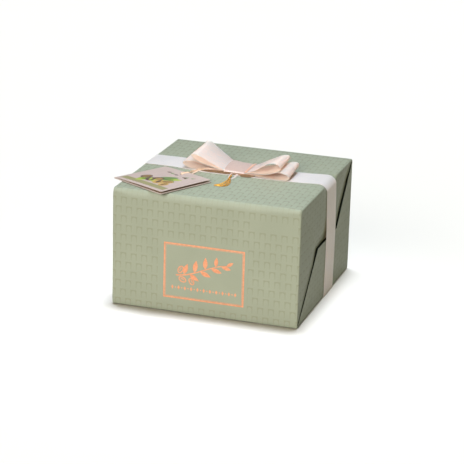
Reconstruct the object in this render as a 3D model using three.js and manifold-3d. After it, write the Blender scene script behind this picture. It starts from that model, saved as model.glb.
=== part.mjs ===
// A boxed festive loaf, gift-wrapped in paper and tied with a satin ribbon and a bow.
// Millimetres, +Z up. The origin is the centre of the pack's base, the front face looks along -Y,
// and the two folded ends of the wrapping look along -X and +X.
// The ribbon crosses the top along X, goes down both ends and passes under the base.

import * as THREE from 'three';
import { mergeVertices } from 'three/addons/utils/BufferGeometryUtils.js';
import Module from 'manifold-3d';

const wasm = await Module();
wasm.setup();

// Wrapped pack
const PACK_WIDTH = 222;
const PACK_DEPTH = 222;
const PACK_HEIGHT = 139.5;
const TOP_FRONT_RADIUS = 5;
const TOP_BACK_RADIUS = 4;
const BASE_RADIUS = 2;
const END_ROUNDING = 1.6;

// Folded ends: the outer layer, made of the bottom flap and the back gusset, stands off the inner one
const FOLD_STEP = 1;
const FOLD_LINE_HEIGHT = 71;
const FOLD_FRONT_Y = -34;
const FOLD_BACK_Y = 47;
const FOLD_CORNER_INSET = 3;

// Satin ribbon and the air that is left between one layer and the next
const RIBBON_WIDTH = 40;
const RIBBON_THICKNESS = 0.4;
const LAYER_GAP = 0.3;

// Band round the pack: its middle line lies at one Y on the top and at another on the ends and base
const BAND_TOP_Y = 12;
const BAND_BASE_Y = 18;
const BAND_TOP_RADIUS = 9;
const BAND_BASE_RADIUS = 0.9;
const BAND_DRIFT_HEIGHT = 45;
const CHANNEL_SIDE_ROOM = 0.5;

// Bow: two closed rings of ribbon, one on the other, pinched at the middle
// Heights here are above the pack's top
const BOW_PINCH_HALF = 12.6;
const LOWER_RING_ROOT = { low: 2.5, top: 3.05 };
const UPPER_RING_ROOT = { low: 3.75, top: 4.3 };
const BOW_RIBBON_THICKNESS = 0.4;

// One edge of a loop: its crest, its furthest point (tip) and its heel, each as reach from the middle
// and height, then the heel's slope, the slope at the root and how far the root's curve runs out
const UPPER_RIGHT = {
  front: {
    crest: [46.6, 19.3], tip: [55.5, 13.9], heel: [50.5, 9.0],
    heelSlope: 0.35, rise: 0.13, run: 0.33,
  },
  back: {
    crest: [50.2, 19.4], tip: [55.6, 16.2], heel: [50.5, 12.2],
    heelSlope: 0.5, rise: 0.1, run: 0.33,
  },
};
const UPPER_LEFT = {
  front: {
    crest: [49.5, 18.6], tip: [53.9, 16.9], heel: [50.5, 13.8],
    heelSlope: 0.45, rise: 0.35, run: 0.33,
  },
  back: {
    crest: [44.6, 24.9], tip: [50.0, 21.8], heel: [46.5, 18.0],
    heelSlope: 0.55, rise: 0.6, run: 0.33,
  },
};
const LOWER_RIGHT = {
  front: {
    crest: [55.0, 8.2], tip: [66.3, 4.2], heel: [60.0, 1.9],
    heelSlope: 0.02, rise: 0, run: 0.65,
  },
  back: {
    crest: [61.5, 11.7], tip: [66.6, 8.6], heel: [62.0, 5.0],
    heelSlope: 0.3, rise: 0, run: 0.6,
  },
};
const LOWER_LEFT = {
  front: {
    crest: [53.5, 10.2], tip: [63.9, 6.4], heel: [57.0, 2.1],
    heelSlope: 0.04, rise: 0.05, run: 0.33,
  },
  back: {
    crest: [54.0, 12.0], tip: [64.3, 8.2], heel: [58.0, 4.0],
    heelSlope: 0.2, rise: 0.05, run: 0.33,
  },
};

// How far the curves of a loop run before they turn, as shares of the span from one point to the next
const CREST_RUN = 0.2;
const CREST_FALL = 0.4;
const HEEL_RUN = 0.35;
const ROOT_SLOPE_SHARE = 0.1;
const FOLD_BULGE = 0.55;

// Ribbon wrapped round the pinch of the bow
const WRAP_WIDTH = 25.2;
const WRAP_LOW = 1.8;
const WRAP_TOP = 5;
const WRAP_SIDE_ROOM = 0.5;
const WRAP_RADIUS = 1.2;

// Folded card tag: its spine runs back from corner A, and its leaves open away from the spine
const TAG_SIDE = 77.6;
const TAG_CORNER = [-121, -80.5];
const TAG_YAW = THREE.MathUtils.degToRad(63.8);
const TAG_STOCK = 0.4;
const TAG_LEAF_GAP = 0.3;
const TAG_HOLE_RADIUS = 2.1;
const TAG_HOLE_INSET = 9.6;
const TAG_NEAR = { spine: 1.5, lower: 1.6, upper: 4.9 };
const TAG_FAR = { spine: 0.9, lower: 0.6, upper: 2.9 };

// Narrow ribbons that hold the tag and the charm
const TIE_THICKNESS = 0.3;
const TIE_HEIGHT = 1.15;
const TAG_TIE_WIDTH = 3;
const CHARM_TIE_WIDTH = 3.6;
const TIE_ON_PAPER = 0.5;
const TIE_REST = 0.6;
const TIE_DIP = 0.9;

// Openwork leaf charm, flat on the top of the pack, with a jump ring through its eye
const CHARM_STOCK = 1;
const CHARM_EYE = [-0.3, -22.4];
const CHARM_EYE_RADIUS = 1.8;
const CHARM_EYE_HOLE = 1;
const CHARM_ROOT = [0, -23.6];
const CHARM_TIP = [-7.6, -60.5];
const CHARM_OUTER_SIDE = [[12, -36], [15, -72]];
const CHARM_INNER_SIDE = [[-3, -38], [-4, -50]];
const CHARM_TILT = THREE.MathUtils.degToRad(2);
const CHARM_EYE_HEIGHT = 1.6;
const CHARM_STEM_WIDTH = 2;
const CHARM_STEM_LENGTH = 6;
const CHARM_CELLS = 5;
const FIRST_CELL = 0.16;
const LAST_CELL = 0.86;
const VEIN_HALF = 0.026;
const VEIN_LEAN = 0.08;
const LEAF_MARGIN = 0.14;
const MIDRIB_HALF = 0.08;
const RING_RADIUS = 2.4;
const RING_WIRE_RADIUS = 0.35;
const RING_HEIGHT = 3.2;
const RING_AHEAD = 2.1;

// Steps along curves
const CORNER_STEPS = 6;
const LOOP_STEPS = 7;
const TIE_STEPS = 30;
const RING_SIDES = 8;
const RING_STEPS = 24;
const LEAF_STEPS = 18;

const bandOffset = LAYER_GAP + RIBBON_THICKNESS / 2;

const satin = { color: 0xf0d9d2, roughness: 0.35, metalness: 0 };
const finishes = {
  wrapped_pack: { color: 0xafb59a, roughness: 0.7, metalness: 0 },
  ribbon_band: satin,
  bow_upper_loops: satin,
  bow_lower_loops: satin,
  bow_wrap: satin,
  tag_card: { color: 0xe3d6d0, roughness: 0.6, metalness: 0 },
  tag_tie: { color: 0xe9b48f, roughness: 0.4, metalness: 0 },
  charm: { color: 0xd39b2f, roughness: 0.3, metalness: 1 },
  charm_ring: { color: 0xd39b2f, roughness: 0.3, metalness: 1 },
  charm_tie: { color: 0xe8d5cf, roughness: 0.4, metalness: 0 },
};

const group = new THREE.Group();

function addPiece(name, geometry) {
  const mesh = new THREE.Mesh(geometry, new THREE.MeshStandardMaterial(finishes[name]));
  mesh.name = name;
  group.add(mesh);
  return mesh;
}

function toSolid(geometry) {
  const bare = geometry.clone();
  bare.deleteAttribute('normal');
  bare.deleteAttribute('uv');
  const merged = mergeVertices(bare, 1e-4);
  const vertProperties = Float32Array.from(merged.attributes.position.array);
  const triVerts = Uint32Array.from(merged.index.array);
  return new wasm.Manifold(new wasm.Mesh({ numProp: 3, vertProperties, triVerts }));
}

function toGeometry(solid) {
  const { vertProperties, triVerts } = solid.getMesh();
  const geometry = new THREE.BufferGeometry();
  geometry.setAttribute('position', new THREE.BufferAttribute(vertProperties, 3));
  geometry.setIndex(new THREE.BufferAttribute(triVerts, 1));
  return geometry;
}

// Turns a shape drawn in Y and Z into a prism along X, from x0 to x1
function prismAlongX(shape, x0, x1, bevel) {
  const rounding = bevel > 0;
  const geometry = new THREE.ExtrudeGeometry(shape, {
    depth: x1 - x0 - 2 * bevel,
    bevelEnabled: rounding,
    bevelSize: bevel,
    bevelOffset: -bevel,
    bevelThickness: bevel,
    bevelSegments: 3,
    curveSegments: CORNER_STEPS,
  });
  const axes = new THREE.Matrix4().makeBasis(
    new THREE.Vector3(0, 1, 0), new THREE.Vector3(0, 0, 1), new THREE.Vector3(1, 0, 0));
  geometry.applyMatrix4(axes);
  geometry.translate(x0 + bevel, 0, 0);
  return geometry;
}

function cornerArc(path, centreY, centreZ, radius, from) {
  path.absarc(centreY, centreZ, radius, from, from + Math.PI / 2, false);
}

function packSection() {
  const half = PACK_DEPTH / 2;
  const section = new THREE.Shape();
  cornerArc(section, half - BASE_RADIUS, BASE_RADIUS, BASE_RADIUS, -Math.PI / 2);
  cornerArc(section, half - TOP_BACK_RADIUS, PACK_HEIGHT - TOP_BACK_RADIUS, TOP_BACK_RADIUS, 0);
  cornerArc(section, -half + TOP_FRONT_RADIUS, PACK_HEIGHT - TOP_FRONT_RADIUS, TOP_FRONT_RADIUS, Math.PI / 2);
  cornerArc(section, -half + BASE_RADIUS, BASE_RADIUS, BASE_RADIUS, Math.PI);
  section.closePath();
  return section;
}

// The outer layer of an end: its open edge zigzags from the top back corner to the bottom front one
function outerLayerShape() {
  const half = PACK_DEPTH / 2;
  const inset = FOLD_CORNER_INSET;
  const shape = new THREE.Shape();
  shape.moveTo(-half + inset, 0);
  shape.lineTo(half, 0);
  shape.lineTo(half, PACK_HEIGHT - inset);
  shape.lineTo(FOLD_BACK_Y, FOLD_LINE_HEIGHT);
  shape.lineTo(FOLD_FRONT_Y, FOLD_LINE_HEIGHT);
  shape.closePath();
  return shape;
}

// Room for the ribbon where it runs under the base
function baseChannel() {
  const half = RIBBON_WIDTH / 2 + CHANNEL_SIDE_ROOM;
  const depth = RIBBON_THICKNESS + LAYER_GAP;
  const channel = new THREE.BoxGeometry(PACK_WIDTH * 1.2, 2 * half, 2 * depth);
  channel.translate(0, BAND_BASE_Y, 0);
  return toSolid(channel);
}

// The ribbon pulls the paper in at the right end's top edge: what lies outside its arc is cut away
function edgeDent() {
  const outer = PACK_WIDTH / 2;
  const dent = new THREE.Shape();
  dent.moveTo(outer + 2, PACK_HEIGHT - BAND_TOP_RADIUS);
  dent.lineTo(outer, PACK_HEIGHT - BAND_TOP_RADIUS);
  dent.absarc(outer - BAND_TOP_RADIUS, PACK_HEIGHT - BAND_TOP_RADIUS, BAND_TOP_RADIUS, 0, Math.PI / 2, false);
  dent.lineTo(outer - BAND_TOP_RADIUS, PACK_HEIGHT + 2);
  dent.lineTo(outer + 2, PACK_HEIGHT + 2);
  dent.closePath();
  const width = RIBBON_WIDTH + 4 * CHANNEL_SIDE_ROOM;
  const options = { depth: width, bevelEnabled: false, curveSegments: CORNER_STEPS };
  const geometry = new THREE.ExtrudeGeometry(dent, options);
  geometry.rotateX(Math.PI / 2);
  geometry.translate(0, BAND_TOP_Y + width / 2 + CHANNEL_SIDE_ROOM, 0);
  return toSolid(geometry);
}

function packGeometry() {
  const half = PACK_WIDTH / 2;
  const inner = toSolid(prismAlongX(packSection(), -half + FOLD_STEP, half - FOLD_STEP, END_ROUNDING));
  const full = toSolid(prismAlongX(packSection(), -half, half, END_ROUNDING));
  const rightLayer = toSolid(prismAlongX(outerLayerShape(), half / 2, half + FOLD_STEP, 0));
  const leftLayer = toSolid(prismAlongX(outerLayerShape(), -half - FOLD_STEP, -half / 2, 0));
  let pack = inner.add(full.intersect(rightLayer)).add(full.intersect(leftLayer));
  pack = pack.subtract(baseChannel());
  pack = pack.subtract(edgeDent());
  return toGeometry(pack);
}

// A strip through sections, each given by its two edge points and its normal.
// The edges may be split into spans, so that a twisted strip stays smooth.
function stripGeometry(sections, thickness, closed, spans) {
  const positions = [];
  const index = [];
  const ring = 2 * (spans + 1);
  for (const { front, back, normal } of sections) {
    for (const side of [1, -1]) {
      for (let i = 0; i <= spans; i += 1) {
        const share = side > 0 ? i / spans : 1 - i / spans;
        const point = front.clone().lerp(back, share);
        point.addScaledVector(normal, side * thickness / 2);
        positions.push(point.x, point.y, point.z);
      }
    }
  }
  const count = sections.length;
  const last = closed ? count : count - 1;
  for (let s = 0; s < last; s += 1) {
    const here = s * ring;
    const next = ((s + 1) % count) * ring;
    for (let i = 0; i < ring; i += 1) {
      const j = (i + 1) % ring;
      index.push(here + i, next + i, next + j, here + i, next + j, here + j);
    }
  }
  if (!closed) {
    const end = (count - 1) * ring;
    for (let i = 0; i < spans; i += 1) {
      const opposite = ring - 1 - i;
      index.push(i, i + 1, opposite, i + 1, opposite - 1, opposite);
      index.push(end + i, end + opposite, end + i + 1, end + i + 1, end + opposite, end + opposite - 1);
    }
  }
  return facingOut(positions, index);
}

// Builds the geometry and turns its triangles over if they face inwards
function facingOut(positions, index) {
  const a = new THREE.Vector3();
  const b = new THREE.Vector3();
  const c = new THREE.Vector3();
  let volume = 0;
  for (let i = 0; i < index.length; i += 3) {
    a.fromArray(positions, 3 * index[i]);
    b.fromArray(positions, 3 * index[i + 1]);
    c.fromArray(positions, 3 * index[i + 2]);
    volume += a.dot(b.cross(c));
  }
  if (volume < 0) {
    for (let i = 0; i < index.length; i += 3) {
      [index[i + 1], index[i + 2]] = [index[i + 2], index[i + 1]];
    }
  }
  const geometry = new THREE.BufferGeometry();
  geometry.setAttribute('position', new THREE.Float32BufferAttribute(positions, 3));
  geometry.setIndex(index);
  return geometry;
}

function flatNormal(before, after) {
  const along = after.clone().sub(before);
  return new THREE.Vector2(-along.y, along.x).normalize();
}

// Points round a rounded rectangle in two coordinates, walked anticlockwise, with straight runs split
function roundedLoop(low, high, radii, runSteps) {
  const path = new THREE.Path();
  cornerArc(path, high[0] - radii.low, low[1] + radii.low, radii.low, -Math.PI / 2);
  cornerArc(path, high[0] - radii.right, high[1] - radii.right, radii.right, 0);
  cornerArc(path, low[0] + radii.left, high[1] - radii.left, radii.left, Math.PI / 2);
  cornerArc(path, low[0] + radii.low, low[1] + radii.low, radii.low, Math.PI);
  path.closePath();
  const points = [];
  for (const curve of path.curves) {
    const steps = curve.isEllipseCurve ? CORNER_STEPS : runSteps;
    for (let i = 0; i < steps; i += 1) {
      points.push(curve.getPoint(i / steps));
    }
  }
  return points;
}

// The band's middle line moves from its place on the top to its place on the ends over a set height
function bandMiddle(z) {
  const down = THREE.MathUtils.clamp((PACK_HEIGHT - z) / BAND_DRIFT_HEIGHT, 0, 1);
  return BAND_TOP_Y + (BAND_BASE_Y - BAND_TOP_Y) * THREE.MathUtils.smoothstep(down, 0, 1);
}

function bandGeometry() {
  const half = PACK_WIDTH / 2 + bandOffset;
  const radii = {
    low: BAND_BASE_RADIUS + RIBBON_THICKNESS / 2,
    right: BAND_TOP_RADIUS + bandOffset,
    left: END_ROUNDING + bandOffset,
  };
  const points = roundedLoop([-half, RIBBON_THICKNESS / 2], [half, PACK_HEIGHT + bandOffset], radii, 8);
  const sections = points.map((point, i) => {
    const before = points[(i + points.length - 1) % points.length];
    const after = points[(i + 1) % points.length];
    const normal = flatNormal(after, before);
    const middle = bandMiddle(point.y);
    return {
      front: new THREE.Vector3(point.x, middle - RIBBON_WIDTH / 2, point.y),
      back: new THREE.Vector3(point.x, middle + RIBBON_WIDTH / 2, point.y),
      normal: new THREE.Vector3(normal.x, 0, normal.y),
    };
  });
  return stripGeometry(sections, RIBBON_THICKNESS, true, 1);
}

function bezier(a, b, c, d) {
  return new THREE.CubicBezierCurve(a, b, c, d);
}

// One edge of one loop, from its root on top, over the crest and round the tip, back to its root below
function loopEdge(edge, root) {
  const start = new THREE.Vector2(BOW_PINCH_HALF, root.top);
  const finish = new THREE.Vector2(BOW_PINCH_HALF, root.low);
  const crest = new THREE.Vector2(...edge.crest);
  const tip = new THREE.Vector2(...edge.tip);
  const heel = new THREE.Vector2(...edge.heel);
  const out = crest.x - start.x;
  const back = heel.x - finish.x;
  const heelWay = new THREE.Vector2(1, edge.heelSlope).normalize();
  const curves = [
    bezier(start,
      new THREE.Vector2(start.x + edge.run * out, start.y + edge.run * out * edge.rise),
      new THREE.Vector2(crest.x - CREST_RUN * out, crest.y - CREST_FALL),
      crest),
    bezier(crest,
      new THREE.Vector2(crest.x + FOLD_BULGE * (tip.x - crest.x), crest.y),
      new THREE.Vector2(tip.x, tip.y + FOLD_BULGE * (crest.y - tip.y)),
      tip),
    bezier(tip,
      new THREE.Vector2(tip.x, tip.y - FOLD_BULGE * (tip.y - heel.y)),
      heel.clone().addScaledVector(heelWay, FOLD_BULGE * (tip.x - heel.x)),
      heel),
    bezier(heel,
      heel.clone().addScaledVector(heelWay, -HEEL_RUN * back),
      new THREE.Vector2(finish.x + HEEL_RUN * back, finish.y + ROOT_SLOPE_SHARE * edge.heelSlope * back),
      finish),
  ];
  const points = [];
  curves.forEach((curve, k) => {
    const steps = k === 0 || k === 3 ? LOOP_STEPS + 2 : LOOP_STEPS;
    const first = k === 0 ? 0 : 1;
    for (let i = first; i <= steps; i += 1) {
      points.push(curve.getPoint(i / steps));
    }
  });
  return points;
}

// A closed ring of ribbon: the right loop, then the left one, joined through the pinch above and below
function ringGeometry(right, left, root) {
  const middle = BAND_TOP_Y;
  const lines = ['front', 'back'].map((edge) => {
    const rightLine = loopEdge(right[edge], root);
    const leftLine = loopEdge(left[edge], root).map((point) => new THREE.Vector2(-point.x, point.y));
    return [...rightLine, ...leftLine.reverse()];
  });
  const count = lines[0].length;
  const sections = [];
  for (let i = 0; i < count; i += 1) {
    const [front, back] = lines.map((line) => line[i]);
    const normals = lines.map((line) => flatNormal(line[(i + 1) % count], line[(i + count - 1) % count]));
    const normal = normals[0].add(normals[1]).normalize();
    sections.push({
      front: new THREE.Vector3(front.x, middle - RIBBON_WIDTH / 2, PACK_HEIGHT + front.y),
      back: new THREE.Vector3(back.x, middle + RIBBON_WIDTH / 2, PACK_HEIGHT + back.y),
      normal: new THREE.Vector3(normal.x, 0, normal.y),
    });
  }
  return stripGeometry(sections, BOW_RIBBON_THICKNESS, true, 3);
}

function wrapGeometry() {
  const reach = RIBBON_WIDTH / 2 + WRAP_SIDE_ROOM;
  const low = [BAND_TOP_Y - reach, PACK_HEIGHT + WRAP_LOW];
  const high = [BAND_TOP_Y + reach, PACK_HEIGHT + WRAP_TOP];
  const points = roundedLoop(low, high, { low: WRAP_RADIUS, right: WRAP_RADIUS, left: WRAP_RADIUS }, 4);
  const sections = points.map((point, i) => {
    const before = points[(i + points.length - 1) % points.length];
    const after = points[(i + 1) % points.length];
    const normal = flatNormal(after, before);
    return {
      front: new THREE.Vector3(-WRAP_WIDTH / 2, point.x, point.y),
      back: new THREE.Vector3(WRAP_WIDTH / 2, point.x, point.y),
      normal: new THREE.Vector3(0, normal.x, normal.y),
    };
  });
  return stripGeometry(sections, BOW_RIBBON_THICKNESS, true, 1);
}

// A point of the tag, from its place along the spine (u), away from the spine (v) and up
function tagPoint(u, v, up) {
  const along = new THREE.Vector3(Math.cos(TAG_YAW), Math.sin(TAG_YAW), 0);
  const away = new THREE.Vector3(Math.sin(TAG_YAW), -Math.cos(TAG_YAW), 0);
  return new THREE.Vector3(TAG_CORNER[0], TAG_CORNER[1], PACK_HEIGHT + up)
    .addScaledVector(along, u)
    .addScaledVector(away, v);
}

// The tag's middle line at one end of the spine: in along the lower leaf, round the fold, out again
function tagLine(u, heights) {
  const fold = (TAG_STOCK + TAG_LEAF_GAP) / 2;
  const arc = new THREE.EllipseCurve(fold, heights.spine, fold, fold, -Math.PI / 2, Math.PI / 2, true);
  const turn = arc.getPoints(CORNER_STEPS);
  const lowerEdge = new THREE.Vector2(TAG_SIDE, heights.lower);
  const upperEdge = new THREE.Vector2(TAG_SIDE, heights.upper);
  return [lowerEdge, ...turn, upperEdge].map((point) => tagPoint(u, point.x, point.y));
}

function tagGeometry() {
  const near = tagLine(0, TAG_NEAR);
  const far = tagLine(TAG_SIDE, TAG_FAR);
  const along = far[0].clone().sub(near[0]).normalize();
  const sections = near.map((point, i) => {
    const before = near[Math.max(i - 1, 0)];
    const after = near[Math.min(i + 1, near.length - 1)];
    const normal = after.clone().sub(before).cross(along).normalize();
    return { front: point, back: far[i], normal };
  });
  const card = toSolid(stripGeometry(sections, TAG_STOCK, false, 2));
  const hole = new THREE.CylinderGeometry(TAG_HOLE_RADIUS, TAG_HOLE_RADIUS, 12, 16);
  hole.rotateX(Math.PI / 2);
  const place = tagPoint(TAG_SIDE - TAG_HOLE_INSET, TAG_SIDE / 2, 3);
  hole.translate(place.x, place.y, place.z);
  return toGeometry(card.subtract(toSolid(hole)));
}

// Height of the upper leaf's top face above the pack's top
function tagTop(u, v) {
  const alongShare = u / TAG_SIDE;
  const awayShare = v / TAG_SIDE;
  const spine = THREE.MathUtils.lerp(TAG_NEAR.spine, TAG_FAR.spine, alongShare) + TAG_STOCK;
  const edge = THREE.MathUtils.lerp(TAG_NEAR.upper, TAG_FAR.upper, alongShare);
  return THREE.MathUtils.lerp(spine, edge, awayShare) + TAG_STOCK / 2;
}

// A narrow ribbon along a smooth path, kept level across its width
function tieGeometry(points, width) {
  const curve = new THREE.CatmullRomCurve3(points, false, 'centripetal');
  const sections = [];
  for (let i = 0; i <= TIE_STEPS; i += 1) {
    const share = i / TIE_STEPS;
    const point = curve.getPointAt(share);
    const along = curve.getTangentAt(share);
    const across = new THREE.Vector3(0, 0, 1).cross(along).normalize();
    const normal = along.clone().cross(across).normalize();
    sections.push({
      front: point.clone().addScaledVector(across, -width / 2),
      back: point.clone().addScaledVector(across, width / 2),
      normal,
    });
  }
  return stripGeometry(sections, TIE_THICKNESS, false, 1);
}

function overPack(x, y, up) {
  return new THREE.Vector3(x, y, PACK_HEIGHT + up);
}

// From under the wrap, along the band, over its front edge and across the tag's edge into the hole
function tagTieGeometry() {
  const middle = TAG_SIDE / 2;
  const hole = TAG_SIDE - TAG_HOLE_INSET;
  const over = (u, v) => tagPoint(u, v, tagTop(Math.min(u, TAG_SIDE), v) + TIE_REST);
  return tieGeometry([
    overPack(-5, -3.6, TIE_HEIGHT),
    overPack(-20, -3.8, TIE_HEIGHT),
    overPack(-33, -5.2, TIE_HEIGHT),
    overPack(-40, -8.6, TIE_HEIGHT),
    overPack(-42.6, -12.6, TIE_HEIGHT - 0.2),
    overPack(-44, -17, TIE_ON_PAPER + 0.2),
    overPack(-46, -21.5, TIE_ON_PAPER + 0.6),
    over(TAG_SIDE + 1, middle + 4),
    over(TAG_SIDE - 3, middle + 1.5),
    over(hole + 2.6, middle + 0.2),
    tagPoint(hole + 0.4, middle, tagTop(hole, middle) - TIE_DIP),
  ], TAG_TIE_WIDTH);
}

// From under the wrap, over the band's front edge and down to the jump ring
function charmTieGeometry() {
  return tieGeometry([
    overPack(4.2, 4, TIE_HEIGHT),
    overPack(4.2, -5, TIE_HEIGHT),
    overPack(3.9, -9.5, TIE_HEIGHT),
    overPack(2.2, -13.5, TIE_ON_PAPER + 0.5),
    overPack(0.2, -16.9, TIE_ON_PAPER + 1.2),
  ], CHARM_TIE_WIDTH);
}

// A point between the charm's two sides: t runs from root to tip, and s from the inner to the outer side
function charmPoint(t, s) {
  const root = new THREE.Vector2(...CHARM_ROOT);
  const tip = new THREE.Vector2(...CHARM_TIP);
  const [inner, outer] = [CHARM_INNER_SIDE, CHARM_OUTER_SIDE].map((side) => bezier(root,
    new THREE.Vector2(...side[0]), new THREE.Vector2(...side[1]), tip).getPoint(t));
  return inner.lerp(outer, s);
}

// One opening of the leaf, between two veins that lean towards the tip as they leave the midrib
function charmCell(t0, t1, s0, s1) {
  const at = (t, s) => charmPoint(t + VEIN_LEAN * Math.abs(s - 0.5), s);
  const middle = (s0 + s1) / 2;
  return new THREE.Path([at(t0, s0), at(t1, s0), at(t1, middle), at(t1, s1), at(t0, s1), at(t0, middle)]);
}

function leafShape() {
  const outline = [new THREE.Vector2(...CHARM_ROOT)];
  for (let i = 1; i < LEAF_STEPS; i += 1) {
    outline.push(charmPoint(i / LEAF_STEPS, 1));
  }
  outline.push(new THREE.Vector2(...CHARM_TIP));
  for (let i = LEAF_STEPS - 1; i > 0; i -= 1) {
    outline.push(charmPoint(i / LEAF_STEPS, 0));
  }
  const leaf = new THREE.Shape(outline);
  const pitch = (LAST_CELL - FIRST_CELL) / CHARM_CELLS;
  for (let k = 0; k < CHARM_CELLS; k += 1) {
    const t0 = FIRST_CELL + k * pitch + VEIN_HALF;
    const t1 = FIRST_CELL + (k + 1) * pitch - VEIN_HALF;
    leaf.holes.push(charmCell(t0, t1, LEAF_MARGIN, 0.5 - MIDRIB_HALF));
    leaf.holes.push(charmCell(t0, t1, 0.5 + MIDRIB_HALF, 1 - LEAF_MARGIN));
  }
  return leaf;
}

function charmPlate(shape, depth, low) {
  const geometry = new THREE.ExtrudeGeometry(shape, { depth, bevelEnabled: false, curveSegments: 8 });
  geometry.translate(0, 0, low);
  return toSolid(geometry);
}

function charmGeometry() {
  const rim = new THREE.Shape();
  rim.absarc(...CHARM_EYE, CHARM_EYE_RADIUS, 0, 2 * Math.PI, false);
  const hole = new THREE.Shape();
  hole.absarc(...CHARM_EYE, CHARM_EYE_HOLE, 0, 2 * Math.PI, false);
  const half = CHARM_STEM_WIDTH / 2;
  const [eyeX, eyeY] = CHARM_EYE;
  const stem = new THREE.Shape([
    new THREE.Vector2(eyeX - half, eyeY), new THREE.Vector2(eyeX - half, eyeY - CHARM_STEM_LENGTH),
    new THREE.Vector2(eyeX + half, eyeY - CHARM_STEM_LENGTH), new THREE.Vector2(eyeX + half, eyeY),
  ]);
  const plate = charmPlate(leafShape(), CHARM_STOCK, 0)
    .add(charmPlate(stem, CHARM_STOCK, 0))
    .add(charmPlate(rim, CHARM_STOCK, 0))
    .subtract(charmPlate(hole, 3 * CHARM_STOCK, -CHARM_STOCK));
  const geometry = toGeometry(plate);
  geometry.translate(-eyeX, -eyeY, 0);
  geometry.rotateX(CHARM_TILT);
  return geometry;
}

addPiece('wrapped_pack', packGeometry());
addPiece('ribbon_band', bandGeometry());
addPiece('bow_lower_loops', ringGeometry(LOWER_RIGHT, LOWER_LEFT, LOWER_RING_ROOT));
addPiece('bow_upper_loops', ringGeometry(UPPER_RIGHT, UPPER_LEFT, UPPER_RING_ROOT));
addPiece('bow_wrap', wrapGeometry());
addPiece('tag_card', tagGeometry());
addPiece('tag_tie', tagTieGeometry());
addPiece('charm_tie', charmTieGeometry());

const charm = addPiece('charm', charmGeometry());
charm.position.set(CHARM_EYE[0], CHARM_EYE[1], PACK_HEIGHT + CHARM_EYE_HEIGHT);

const ringWire = new THREE.TorusGeometry(RING_RADIUS, RING_WIRE_RADIUS, RING_SIDES, RING_STEPS);
const ring = addPiece('charm_ring', ringWire);
ring.rotation.y = Math.PI / 2;
ring.position.set(CHARM_EYE[0], CHARM_EYE[1] + RING_AHEAD, PACK_HEIGHT + RING_HEIGHT);

export default group;
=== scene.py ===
"""Looks of a gift-wrapped pack: printed paper, satin ribbons and bow, a card tag and a gold charm.

Lengths are in millimetres until a mesh is made, and heights of loose pieces are above the pack's top.
Only the floor and the lamps are placed in metres.
"""
import math

import bmesh
import bpy
from mathutils import Matrix, Vector, noise


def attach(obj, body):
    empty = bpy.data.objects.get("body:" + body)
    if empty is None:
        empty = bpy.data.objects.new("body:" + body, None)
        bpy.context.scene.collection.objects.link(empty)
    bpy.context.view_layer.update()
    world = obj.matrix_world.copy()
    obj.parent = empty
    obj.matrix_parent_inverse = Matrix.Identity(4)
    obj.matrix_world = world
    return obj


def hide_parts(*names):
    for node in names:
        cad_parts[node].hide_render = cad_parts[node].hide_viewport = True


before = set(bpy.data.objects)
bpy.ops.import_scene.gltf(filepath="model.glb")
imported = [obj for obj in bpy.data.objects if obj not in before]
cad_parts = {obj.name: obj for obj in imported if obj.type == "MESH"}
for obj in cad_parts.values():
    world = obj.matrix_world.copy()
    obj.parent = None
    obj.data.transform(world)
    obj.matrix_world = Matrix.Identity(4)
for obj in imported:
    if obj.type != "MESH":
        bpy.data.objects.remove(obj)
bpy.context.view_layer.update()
MM = 0.001

# The pack
HALF = 111.0
HEIGHT = 139.5
FRONT_RADIUS = 5.0
FRONT_DROP = 10.0
# Paper saved by going round the top front edge, and the share of its radius that any other edge saves
FRONT_SAVED = 2.88
EDGE_SAVES = 0.43
BACK_RADIUS = 4.0
BASE_RADIUS = 2.0
END_RADIUS = 1.6
CROWN = 0.3
FOLD_FRONT = -34.0
FOLD_BACK = 47.0
FOLD_LEVEL = 71.0
BAND_WIDTH = 40.0
BAND_BASE = 18.0
BAND_THICK = 0.3
BOW_THICK = 0.26
NARROW_THICK = 0.2
# Foil and print stand up from the surface, and their undersides lie just under it
PRINT_RISE = 0.03
PRINT_SINK = -0.02


def lerp(a, b, t):
    return a + (b - a) * t


def smooth(a, b, x):
    t = min(max((x - a) / (b - a), 0.0), 1.0)
    return t * t * (3 - 2 * t)


def table(pairs, x):
    """Value at x from (x, value) pairs, eased between them."""
    if x <= pairs[0][0]:
        return pairs[0][1]
    for (xa, va), (xb, vb) in zip(pairs, pairs[1:]):
        if x <= xb:
            return lerp(va, vb, smooth(xa, xb, x))
    return pairs[-1][1]


def ripple(x, y, size, seed):
    """Smooth value from about -1 to 1 that varies over a length of size."""
    return noise.noise(Vector((x / size + 11.3 * seed, y / size - 7.1 * seed, 3.7 * seed)))


def add(name, data):
    """Puts an object with this data into the scene."""
    made = bpy.data.objects.new(name, data)
    bpy.context.scene.collection.objects.link(made)
    return made


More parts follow.
